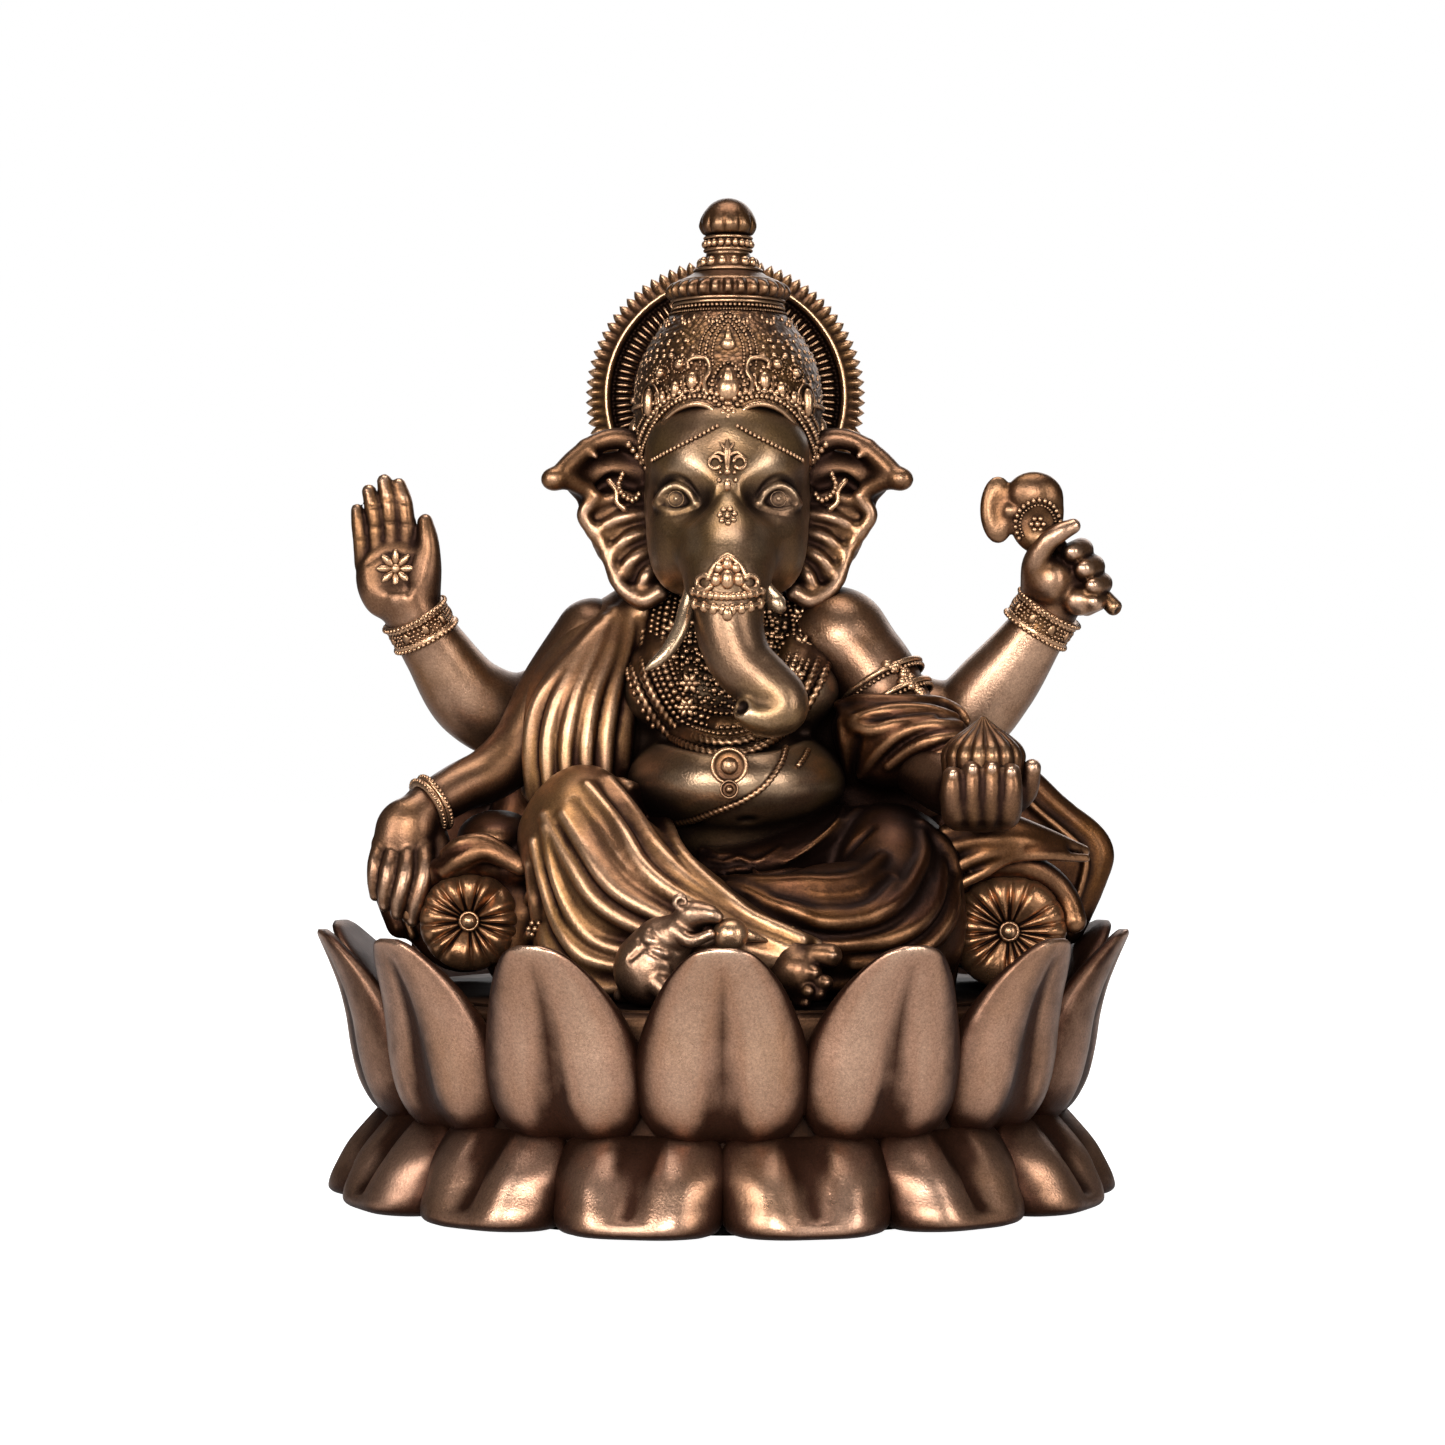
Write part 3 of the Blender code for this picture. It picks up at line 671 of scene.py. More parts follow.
def petal_ring(profile, levels, groove, lobes, offset, seed):
    """A ring of petals of slightly different reach, and the painted highlights and shade of all its points.

    With no offset one petal faces the front. An offset is a share of the pitch."""
    petal = Trim()
    rings, painted_light = petal_rings(profile, levels, groove, lobes)
    petal.loft(rings)
    draw = np.random.default_rng(seed)
    ring = Trim()
    for i in range(PETALS):
        angle = -math.pi / 2 + (i + offset) * 2 * math.pi / PETALS
        reach = 1 + REACH_VARIES * draw.uniform(-1, 1)
        c, s = reach * math.cos(angle), reach * math.sin(angle)
        ring.add(petal, np.array([[c, -s, 0], [s, c, 0], [0, 0, 1]]))
    return ring, np.tile(painted_light, PETALS)


def build_base(petal, inner):
    # each petal ring brings its own painted highlights and shade, and petals that face aside get more painted
    # shade
    upper, painted_light = petal_ring(UPPER_PETAL, 46, upper_groove, 0.5, offset=0.0, seed=1)
    piece("lotus_upper_petals", "petal_bronze", petal, ["upper_petal_ring"], upper, rounds=1, painted_light=painted_light,
          turned=0.28)
    lower, painted_light = petal_ring(LOWER_PETAL, 60, lower_groove, 1.5, offset=0.5, seed=2)
    piece("lotus_lower_petals", "petal_bronze", petal, ["lower_petal_ring"], lower, rounds=1, painted_light=painted_light,
          turned=0.20)
    core = Trim()
    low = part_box("lotus_core")[0][2] / MM
    profile = [
        (low, 49.4), (low + 0.6, 50.4), (4, 52.4), (12, 53.6), (15, 53.4), (22, 53.6), (31.4, 54.0),
        (32.8, 53.6), (33.6, 52.4), (33.9, 50.6), (34.0, 30), (34.0, 1),
    ]
    core.loft(lathe(0, 0, spline(profile, 3), 120))
    # the drum shows only in the gaps between the petals: near-black painted shade, darkened further
    piece("lotus_drum", "raw_casting", inner, ["lotus_core"], core, patina_and_painted_light=-0.14)


# ---------------------------------------------------------------- head


HEAD_X = 0.75


def beside(middle, side, points):
    """Points whose first number is a distance from the middle, put on side -1 or 1 of it."""
    return [(middle + side * point[0], *point[1:]) for point in points]


def sculpt_eye(clay, side):
    """Socket, ball, lids and the fold of the brow."""
    x = HEAD_X + side * 8.1
    clay.blob((x - side * 0.2, -29.2, 111.8), (4.6, 2.9, 2.9), soft=4.2, cut=True)
    clay.blob((x, -22.6, 112.1), (3.1, 3.0, 2.7), soft=0.9)
    upper = beside(x, side, [(-3.2, 111.2), (-1.9, 113.2), (0.2, 114.0), (2.0, 113.1), (3.1, 111.4)])
    lower = beside(x, side, [(-3.2, 111.1), (-1.6, 110.3), (0.4, 110.0), (2.1, 110.5), (3.1, 111.3)])
    crease = [(a + side * 0.3, b + 1.35) for a, b in upper]
    upper_lid, lower_lid = clay.fronts(upper, 0.0, 3), clay.fronts(lower, -0.05, 3)
    crease = clay.fronts(crease, 0.2, 3)
    slits = [
        clay.fronts([(a, b + rise) for a, b in lid[1:4]], 0.1, 3) for lid,
        rise in ((upper, -0.75), (lower, 0.6))]
    clay.tube(crease, 0.36, soft=0.8, cut=True, per_span=2)
    for line in slits:
        clay.tube(line, 0.2, soft=0.4, cut=True, per_span=2)
    clay.tube(upper_lid, 0.62, soft=0.5, per_span=2)
    clay.tube(lower_lid, 0.42, soft=0.6, per_span=2)


def sculpt_head():
    """The head with its trunk."""
    clay = Clay((-16, -46, 72), (17, 6, 132), 0.34)
    clay.blob((HEAD_X, -12, 112), (13.3, 15.6, 15.8))
    clay.blob((HEAD_X, -12.4, 119.4), (12.8, 13.2, 12.6), soft=2)
    clay.blob((HEAD_X, -14.4, 121.4), (12.0, 13.4, 9.4), soft=2)
    clay.blob((HEAD_X, -6, 100), (8, 8, 9), soft=4)
    for side in (-1, 1):
        # the brow runs down the inner side of the eye into the bridge of the trunk
        brow = [
            (8.0, -20.2, 119.0), (5.6, -23.0, 117.2), (3.4, -25.6, 113.0), (2.6, -27.2, 108.0),
            (2.4, -28.6, 103.6)]
        clay.tube(beside(HEAD_X, side, brow), [3.8, 3.6, 3.1, 3.0, 3.4], soft=5.0)
        clay.blob((HEAD_X + side * 6.6, -20.6, 107.0), (5.6, 7.4, 6.4), soft=4)
        clay.blob((HEAD_X + side * 6.9, -18.4, 102.4), (4.5, 6.6, 5.0), soft=3.5)
    clay.tube(
        [(HEAD_X, -21, 116), (HEAD_X, -25, 109), (HEAD_X, -29, 103.5), (HEAD_X, -32.4, 98.5)],
        [4.6, 5.0, 5.8, 6.2], soft=6)
    clay.tube(
        [(HEAD_X, -31, 101), (0.75, -34.2, 95.6), (1.3, -35.6, 90.4), (3.0, -36.6, 86.2), (6.2, -37.6, 83.0),
         (8.6, -38.2, 80.8), (9.0, -38.8, 79.0), (7.2, -39.4, 77.9)],
        [6.2, 5.6, 5.2, 4.9, 4.6, 4.3, 3.9, 3.0], soft=2.2, per_span=14)
    clay.tube([(7.2, -39.4, 77.9), (5.0, -40.0, 78.0), (3.6, -40.4, 78.8)], [2.9, 2.5, 2.0], soft=1.2)
    clay.blob((2.4, -41.6, 79.4), (1.5, 1.6, 1.2), soft=0.5, cut=True)
    for side in (-1, 1):
        sculpt_eye(clay, side)
    return clay


def irises_of(clay):
    irises = Trim()
    for side in (-1, 1):
        x = HEAD_X + side * 8.0
        circle = np.linspace(0, 2 * math.pi, 25)
        irises.pipe(
            [clay.front(x + 1.2 * math.cos(a), 112.0 + 1.2 * math.sin(a), -0.04) for a in circle], 0.14,
            sides=6)
        irises.bead(clay.front(x, 112.0, -0.24), (0.5, 0.4, 0.5), rings=8, sides=14)
    return irises


def add_brow_jewels(gems, clay):
    # strings of pearls over the brow
    for side in (-1, 1):
        chain = beside(HEAD_X, side, [(1.6, 123.2), (4.6, 121.6), (8.4, 119.8), (11.8, 118.2)])
        gems.beads(clay.fronts(chain, 0.25), 0.36, 0.74)
    # forehead ornament: a leaf, two curls and a drop, then a rosette
    leaf = [(HEAD_X, 121.0), (HEAD_X, 118.8), (HEAD_X, 116.6)]
    gems.pipe(
        clay.fronts(leaf, 0.2), np.interp(np.linspace(0, 1, 13), [0, 0.35, 1], [0.25, 0.75, 0.4]), sides=8,
        squash=0.6)
    for side in (-1, 1):
        curl = [(1.9 + 0.95 * math.cos(a), 117.4 + 0.95 * math.sin(a)) for a in np.linspace(-2.4, 2.9, 9)]
        curl = beside(HEAD_X, side, curl)
        gems.pipe(clay.fronts(curl, 0.2, 3), 0.32, sides=7)
        arm = beside(HEAD_X, side, [(0.3, 118.6), (1.6, 119.0), (2.8, 118.0)])
        gems.pipe(clay.fronts(arm, 0.2), 0.3, sides=7)
        tip = beside(HEAD_X, side, [(0.2, 119.4), (1.1, 120.6)])
        gems.pipe(clay.fronts(tip, 0.15, 5), [0.35, 0.33, 0.3, 0.25, 0.2, 0.12], sides=7)
        gems.bead(clay.front(HEAD_X + side * 1.3, 114.6, 0.1), 0.42)
        gems.bead(clay.front(HEAD_X + side * 1.1, 115.8, 0.1), 0.36)
    gems.bead(clay.front(HEAD_X, 116.0, 0.1), (0.6, 0.5, 0.6))
    gems.bead(clay.front(HEAD_X, 113.9, 0.15), (0.62, 0.5, 1.0))
    rosette = clay.front(HEAD_X, 108.9, 0.1)
    for i in range(7):
        a = 2 * math.pi * i / 7 + 0.3
        spot = clay.front(rosette[0] + 1.15 * math.cos(a), rosette[2] + 1.15 * math.sin(a), 0.05)
        gems.bead(spot, (0.5, 0.42, 0.5))
    gems.bead(rosette, (0.55, 0.5, 0.55))


def add_trunk_jewels(gems, clay):
    """A band round the trunk: a scalloped tip, a row of beads and drops."""
    for z, droop, size in ((97.2, 1.0, 1.0), (95.4, 1.0, 0.8)):
        line = [(HEAD_X + 5.4 * t, z - droop * (1 - t * t)) for t in np.linspace(-1, 1, 11)]
        gems.pipe(clay.fronts(line, 0.15, 2), size * 0.55, sides=7)
    for t in np.linspace(-1, 1, 13):
        x = HEAD_X + 5.2 * t
        gems.bead(clay.front(x, 96.2 + 0.9 * t * t, 0.2), (0.62, 0.6, 0.7))
    for t in np.linspace(-1, 1, 8):
        gems.bead(clay.front(HEAD_X + 4.9 * t, 94.2 + 1.0 * t * t, 0.1), (0.75, 0.55, 0.95))
    for side in (-1, 1):
        curl = [(3.5 + 1.1 * math.cos(a), 98.4 + 1.1 * math.sin(a)) for a in np.linspace(-2.6, 2.4, 8)]
        curl = beside(HEAD_X, side, curl)
        gems.pipe(clay.fronts(curl, 0.2, 3), 0.5, sides=8)
        edge = beside(HEAD_X, side, [(2.9, 99.0), (2.3, 100.6), (1.1, 101.9), (0, 102.6)])
        gems.pipe(clay.fronts(edge, 0.1), 0.5, sides=8)
        gems.bead(clay.front(HEAD_X + side * 1.7, 98.8, 0.1), (0.95, 0.7, 1.1))
        gems.bead(clay.front(HEAD_X + side * 1.3, 100.6, 0.1), (0.8, 0.6, 0.9))
    gems.bead(clay.front(HEAD_X, 93.6, 0.2), (0.9, 0.7, 1.2))
    gems.bead(clay.front(HEAD_X, 98.8, 0.2), (1.1, 0.9, 1.6))
    gems.bead(clay.front(HEAD_X, 101.2, 0.1), (0.9, 0.6, 1.1))

def painted_face_light(x, y, z):
    """Painted highlights on the brows, cheeks and bridge; painted shade on the temples and in the eye
    hollows; darker towards the trunk's end.
    """
    off = np.abs(x - HEAD_X)
    face = np.clip((z - 96) / 6, 0, 1)

    def spot(middle, height, wide, tall):
        return np.exp(-((off - middle) / wide) ** 2 - ((z - height) / tall) ** 2)

    brow = 0.12 * spot(6.2, 117.4, 2.8, 1.7)
    cheek = 0.17 * spot(5.4, 106.0, 1.7, 5.0)
    bridge = 0.05 * spot(0.6, 106.5, 1.6, 4.0)
    temple = 0.12 * np.clip((off - 9.2) / 3, 0, 1)
    eye_hollow = 0.15 * spot(8.2, 112.0, 4.0, 2.8) + 0.05 * spot(2.4, 113.0, 1.8, 5.0)
    trunk = 0.08 * np.clip((94 - z) / 4, 0, 1)
    return (brow + cheek + bridge - temple - eye_hollow) * face - trunk


def build_head(skin, trim_metal):
    clay = sculpt_head()
    gems = Trim()
    add_brow_jewels(gems, clay)
    add_trunk_jewels(gems, clay)
    # the face carries painted highlights and painted shade
    piece(
        "head_and_trunk", "skin_bronze", skin, ["head", "trunk"], clay, irises_of(clay), rounds=26,
        patina_and_painted_light=painted_face_light)
    piece("head_ornaments", "trim_bronze", trim_metal, [], gems)


def build_tusks(skin):
    tusk = Trim()
    path = spline(
        [
            (-4.6, -32.4, 97.4), (-5.6, -35.2, 94.2), (-6.6, -36.8, 91.0), (-8.4, -38.0, 88.0),
            (-10.2, -38.4, 86.2), (-11.6, -38.4, 85.2)], 5)
    radii = np.interp(np.linspace(0, 1, len(path)), [0, 0.5, 0.85, 1], [1.35, 1.15, 0.8, 0.4])
    tusk.pipe(path, radii, sides=14)
    piece("right_tusk_ivory", "trim_bronze", skin, ["right_tusk"], tusk)
    stub = Trim()
    stub.pipe(
        spline([(6.0, -31.8, 98.0), (7.6, -33.6, 96.2), (8.8, -34.8, 94.8)], 5), [1.5] * 9 + [1.4, 1.1],
        sides=14)
    piece("left_tusk_stub_ivory", "trim_bronze", skin, ["left_tusk_stub"], stub)


def build_ear(side, skin, trim_metal):
    """side is -1 for the figure's right ear. Points are given for the right ear and mirrored."""

    def at(points):
        return [(HEAD_X + side * (HEAD_X - p[0]) if side > 0 else p[0], *p[1:]) for p in points]

    low, high = (-31, -17, 92), (-8, -1, 128)
    if side > 0:
        low, high = (2 * HEAD_X + 8, -17, 92), (2 * HEAD_X + 31, -1, 128)
    clay = Clay(low, high, 0.34)
    for start, end, size in (
        ((-13, -5.5, 118.0), (-21.8, -6.6, 115.6), 3.4), ((-13, -5.8, 112.0), (-20.0, -6.4, 110.8), 3.6),
        ((-13, -6.4, 106.2), (-17.6, -6.8, 105.4), 3.3), ((-12.4, -7.8, 101.2), (-15.0, -8.4, 100.2), 2.8)):
        clay.tube(at([start, end]), [size, size * 0.9], soft=2.0, squash=(1, 0.55))
    # the thin blade of the ear, as overlapping folds that run from the root to the rim
    rim = [
        (-20.5, -8.5, 113.4), (-22.2, -8.0, 110.4), (-20.2, -8.0, 107.2), (-18.4, -8.4, 104.2),
        (-17.4, -9.2, 101.0), (-15.8, -10.0, 98.4), (-12.8, -10.6, 96.6), (-10.2, -10.6, 97.8)]
    clay.tube(at(rim), [1.2, 1.3, 1.2, 1.2, 1.2, 1.3, 1.5, 1.6], soft=0.8)
    roots = [
        (-12.0, -7.0, 113.5), (-12.0, -7.5, 110.5), (-12.0, -8.0, 107.5), (-11.6, -8.6, 104.5),
        (-11.0, -9.2, 101.5)]
    ends = [
        (-21.4, -7.6, 111.6), (-20.6, -7.8, 107.6), (-18.4, -8.2, 103.8), (-16.9, -9.0, 100.2),
        (-13.6, -10.0, 97.4)]
    for root, end in zip(roots, ends):
        middle = tuple((a + b) / 2 for a, b in zip(root, end))
        middle = (middle[0], middle[1] - 0.9, middle[2] + 0.8)
        clay.tube(at([root, middle, end]), [1.7, 1.25, 1.0], soft=1.1)
        between = (middle[0] - 0.4, middle[1] + 0.5, middle[2] - 1.9)
        clay.tube(
            at(
                [(root[0], root[1] + 0.6, root[2] - 1.6), between, (end[0] + 0.6, end[1] + 0.4, end[2] - 1.8)]
            ), [1.3, 0.95, 0.8], soft=0.9)
    # the horn-like fold at the top, hollow underneath, with a knob at its tip
    horn = [
        (-12.6, -7.5, 121.4), (-16.4, -7.6, 122.8), (-20.2, -8.0, 122.0), (-23.6, -9.0, 119.4),
        (-26.4, -10.4, 116.6)]
    clay.tube(at(horn), [1.9, 1.7, 1.6, 1.7, 1.5], soft=1.0)
    clay.tube(
        at([(-13, -5.6, 117.5), (-17.5, -5.4, 118.0), (-21.5, -6.4, 117.2), (-24.0, -8.2, 116.0)]),
        [2.4, 2.4, 2.1, 1.6], soft=2.0)
    clay.tube(
        at([(-21.8, -8.2, 114.6), (-24.4, -9.6, 115.6), (-26.6, -10.6, 115.9)]), [1.4, 1.3, 1.5], soft=1.0)
    clay.blob(at([(-27.2, -10.8, 116.0)])[0], (1.9, 1.7, 1.8), soft=0.7)
    clay.tube(
        at([(-15.4, -10.2, 119.2), (-18.6, -10.6, 119.4), (-21.4, -11.0, 118.0)]), [1.3, 1.4, 0.9], soft=0.8,
        cut=True)
    clay.tube(
        at([(-20.6, -7.4, 114.4), (-17.6, -8.0, 116.0), (-14.2, -8.4, 115.0)]), [0.8, 1.1, 0.9], soft=0.8,
        cut=True)
    clay.tube(at([(-22.2, -8.6, 121.6), (-20.4, -9.6, 119.8)]), [0.8, 0.5], soft=0.8)
    curls = Trim()
    for start, count in (((-15.0, -10.2, 121.6), 4), ((-13.6, -10.8, 119.6), 3)):
        for i in range(count):
            spot = at([(start[0] + 0.7 * i, start[1] - 0.15 * i, start[2] - 0.9 * i)])[0]
            curls.bead(spot, 0.62 - 0.05 * i)
    hook = [
        (-16.0, -10.6, 116.8), (-16.6, -10.8, 115.0), (-15.8, -10.8, 113.4), (-14.2, -10.8, 112.6),
        (-13.4, -10.6, 113.6)]
    curls.beads(spline(at(hook), 6), 0.5, 0.8)
    leaf = [(-18.2, -9.6, 115.8), (-17.0, -10.4, 114.2), (-16.9, -10.6, 112.4), (-15.6, -10.6, 111.2)]
    curls.pipe(spline(at(leaf), 4), 0.5, sides=8)
    name = "right" if side < 0 else "left"
    piece(f"{name}_ear_blade", "skin_bronze", skin, [f"{name}_ear"], clay, rounds=14,
          patina_and_painted_light=lambda x, y, z: -0.14 * np.clip((z - 111) / 4, 0, 1))
    piece(f"{name}_ear_ornaments", "trim_bronze", trim_metal, [], curls)


# ---------------------------------------------------------------- crown and halo

CROWN_X = 0.9
# the middle of the cornice and finial
CROWN_Y = -6
DOME = [
    (117.0, 13.2), (120.0, 14.0), (124.0, 14.8), (128.0, 15.1), (132.0, 14.8), (135.5, 13.8), (139.0, 12.0),
    (141.8, 10.0), (143.4, 8.8), (144.4, 8.4)]


def dome_shape(z):
    """Half width, half depth and the middle's y of the crown at a height."""
    radius = float(np.interp(z, [p[0] for p in DOME], [p[1] for p in DOME]))
    rise = float(np.clip((z - 128) / 16, 0, 1))
    return radius, radius * (1.14 - 0.14 * rise), -8.4 + 2.4 * rise


def on_dome(x, z, lift=0.0):
    """A point on the front of the crown."""
    wide, deep, middle = dome_shape(z)
    share = np.clip((x - CROWN_X) / wide, -0.98, 0.98)
    return vec(CROWN_X + share * (wide + lift), middle - (deep + lift) * math.sqrt(1 - share**2), z)


def round_dome(angle, z, lift=0.0):
    """A point on the crown at an angle from the front, positive towards +X."""
    wide, deep, middle = dome_shape(z)
    return vec(CROWN_X + (wide + lift) * math.sin(angle), middle - (deep + lift) * math.cos(angle), z)


def sculpt_crown():
    """The dome, cut away over the brow."""
    low, high = vec(-16, -28, 115), vec(18, 10, 147)
    clay = Clay(low, high, 0.4)
    slices, (x, y, z) = clay.window(low, high)
    heights = np.array([p[0] for p in DOME])
    smooth = spline(DOME, 6)
    radius = np.interp(z, smooth[:, 0], smooth[:, 1])
    rise = np.clip((z - 128) / 16, 0, 1)
    deep = 1.14 - 0.14 * rise
    distance = np.sqrt((x - CROWN_X) ** 2 + ((y + 8.4 - 2.4 * rise) / deep) ** 2) - radius
    distance = np.maximum(distance, np.maximum(heights[0] - z, z - 145.6))
    clay.field[slices] = distance.astype(np.float32)
    for side in (-1, 1):
        clay.blob((CROWN_X + side * 5.5, -24, 117.0), (7.0, 11, 9.6), soft=0.8, cut=True)
    clay.blob((CROWN_X, -24, 113), (12.6, 9, 9), soft=0.8, cut=True)
    return clay


def add_arches(gems):
    # double arch round the brow: a plain rim, then three rows of beads
    for side in (-1, 1):
        arch = [
            (1.2, 124.6), (3.0, 126.4), (5.4, 126.9), (8.2, 126.0), (10.6, 123.6), (12.2, 120.6),
            (12.8, 118.4)]
        line = spline(arch, 5)
        tangent = unit(np.gradient(line, axis=0))
        for out, lift, size in ((0.0, 0.15, 0.5), (1.2, 0.15, 0.42), (2.3, 0.1, 0.52), (3.4, 0.05, 0.34)):
            rows = []
            for (a, b), (ta, tb) in zip(line, tangent):
                rows.append(on_dome(CROWN_X + side * (a - tb * out), b + abs(ta) * out, lift))
            if out == 0:
                gems.pipe(rows, size, sides=8)
            else:
                gems.beads(rows, size, size * 2.05)
    # centre pendant between the arches: a flower over a fan
    centre = on_dome(CROWN_X, 124.6, 0.6)
    gems.bead_ring(centre + vec(0, -0.2, 0), vec(1.15, 0, 0), vec(0, 0, 1.15), 8, 0.52)
    gems.bead(centre + vec(0, -0.4, 0), 0.7)
    for i in range(5):
        a = (i - 2) * 0.42
        root, tip = (
            vec(CROWN_X, centre[1] + 0.2, 124.0),
            vec(CROWN_X + 2.6 * math.sin(a), centre[1] - 0.5, 124.0 - 2.7 * math.cos(a))
        )
        gems.pipe(
            spline([root, (root + tip) / 2 + vec(0, -0.3, 0), tip], 3),
            [0.3, 0.5, 0.62, 0.7, 0.66, 0.55, 0.3], sides=8)


def add_front_jewels(gems):
    # big drop with a beaded surround, smaller drop above under an ogee of fine beads
    big = on_dome(CROWN_X, 129.6, 0.3)
    gems.bead(big + vec(0, 0, -0.4), (1.8, 1.2, 2.0), rings=12, sides=18)
    gems.bead(big + vec(0, 0, 1.2), (1.05, 0.9, 1.8), rings=12, sides=18)
    ring = [
        on_dome(CROWN_X + 2.6 * math.sin(a), 129.5 + 3.2 * math.cos(a) + 0.8 * max(0, math.cos(a)) ** 4, 0.15)
        for a in np.linspace(0, 2 * math.pi, 41)]
    gems.beads(ring, 0.34, 0.72)
    small = on_dome(CROWN_X, 136.9, 0.3)
    gems.bead(small + vec(0, 0, -0.3), (1.3, 0.95, 1.3), rings=12, sides=16)
    gems.bead(small + vec(0, 0, 0.8), (0.7, 0.7, 1.3), rings=12, sides=16)
    gems.bead(on_dome(CROWN_X, 138.9, 0.2), (0.4, 0.4, 0.7))
    for scale, size in ((1.0, 0.3), (1.42, 0.34), (1.8, 0.26)):
        ogee = [
            (-2.4, 133.2), (-2.5, 135.2), (-2.1, 137.4), (-1.2, 139.2), (0, 140.6), (1.2, 139.2),
            (2.1, 137.4), (2.5, 135.2), (2.4, 133.2)]
        line = [
            on_dome(CROWN_X + a * scale, 133.4 + (b - 133.4) * (0.72 + 0.28 * scale), 0.1) for a,
            b in spline(ogee, 4)]
        gems.beads(line, size, size * 2.3)
    # scrolls beside the big drop, then drops that shrink towards the sides
    for side in (-1, 1):
        scroll = [
            (3.3, 128.4), (3.7, 130.4), (2.9, 132.2), (3.4, 134.0), (5.0, 134.4), (6.3, 133.8), (6.2, 132.8)]
        gems.pipe(spline([on_dome(CROWN_X + side * a, b, 0.2) for a, b in scroll], 4), 0.42, sides=8)
        for x, z, w, h in ((5.6, 130.6, 0.95, 1.5), (8.2, 129.4, 0.8, 1.25), (10.2, 128.2, 0.65, 1.05)):
            at = on_dome(CROWN_X + side * x, z, 0.2)
            gems.bead(at, (w, 0.8, h), rings=9, sides=12)
            cup = [
                on_dome(CROWN_X + side * (x + (w + 0.45) * math.sin(a)), z - (h + 0.3) * math.cos(a), 0.1)
                for a in np.linspace(-1.9, 1.9, 9)]
            gems.pipe(cup, 0.25, sides=6)
        for x, z, size in (
            (7.6, 133.4, 0.85), (10.6, 132.2, 0.8), (12.4, 129.4, 0.5), (11.8, 131.0, 0.42),
            (8.9, 135.0, 0.5), (6.6, 137.4, 0.42), (9.4, 137.0, 0.4)):
            at = on_dome(CROWN_X + side * x, z, 0.15)
            gems.bead(at, size)
            if size > 0.7:
                gems.beads(
                    [
                        on_dome(CROWN_X + side * x + 1.35 * math.cos(a), z + 1.35 * math.sin(a), 0.05)
                        for a in np.linspace(0, 2 * math.pi, 13)], 0.22, 0.6)
        jewel = on_dome(CROWN_X + side * 12.3, 127.6, 0.3)
        gems.bead(jewel, (0.95, 0.8, 2.3), rings=12, sides=14)
        gems.pipe(
            [
                on_dome(CROWN_X + side * (12.2 + 1.35 * math.sin(a)), 127.6 + 3.0 * math.cos(a), 0.15)
                for a in np.linspace(0, 2 * math.pi, 25)], 0.22, sides=6)


def add_bands(gems):
    """Bands of beads and leaves all the way round."""
    for z, size, lift in ((127.4, 0.42, 0.1), (143.6, 0.34, 0.2), (142.8, 0.22, 0.15)):
        line = [round_dome(a, z, lift) for a in np.linspace(-math.pi, math.pi, 121)]
        keep = [p for p in evenly(line, size * 2.15) if z > 140 or p[1] > -20.5]
        for p in keep:
            gems.bead(p, size)
    for z in (119.0, 120.4):
        for p in evenly([round_dome(a, z, 0.1) for a in np.linspace(1.35, 2 * math.pi - 1.35, 90)], 1.0):
            gems.bead(p, 0.42)
    for i in range(9):
        a = math.radians(100 + i * 20)
        foot = round_dome(a, 124.2, 0.25)
        gems.bead(foot, (1.2, 1.2, 2.1), rings=10, sides=14)
        gems.beads(
            [
                round_dome(a + 0.14 * math.sin(b), 124.2 + 3.0 * math.cos(b), 0.1)
                for b in np.linspace(0, 2 * math.pi, 21)], 0.28, 0.72)
        gems.bead(round_dome(a + math.radians(10), 128.8, 0.15), 0.55)


def add_curls(gems):
    # fine curls that fill the ground between the jewels
    draw = np.random.default_rng(5)
    for z in np.arange(128.4, 134.2, 0.95):
        wide = dome_shape(z)[0]
        count = int(2 * math.pi * wide / 1.45)
        for i in range(count):
            a = 2 * math.pi * (i + 0.5 * (int(z * 2) % 2)) / count + draw.uniform(-0.02, 0.02)
            if abs(math.sin(a) * wide) < 4.6 and math.cos(a) > 0 and z > 132.5:
                continue
            gems.bead(
                round_dome(a + draw.uniform(-0.04, 0.04), z + draw.uniform(-0.4, 0.4), -0.1),
                draw.uniform(0.2, 0.42), rings=4, sides=6)
    # rows of small curls that rise over the dome between the ogee and the cornice
    for z, wide_at in ((134.9, 0.5), (136.1, 0.46), (137.4, 0.42), (138.6, 0.38)):
        wide = dome_shape(z)[0]
        count = int(2 * math.pi * wide / 1.9)
        for i in range(count):
            a = 2 * math.pi * (i + 0.5 * (int(z) % 2)) / count
            if abs(math.sin(a) * wide) < 5.0 and math.cos(a) > 0:
                continue
            gems.bead(
                round_dome(a, z + draw.uniform(-0.2, 0.2), -0.14),
                (wide_at, 0.4, wide_at * draw.uniform(0.7, 1.1)), rings=5, sides=7)


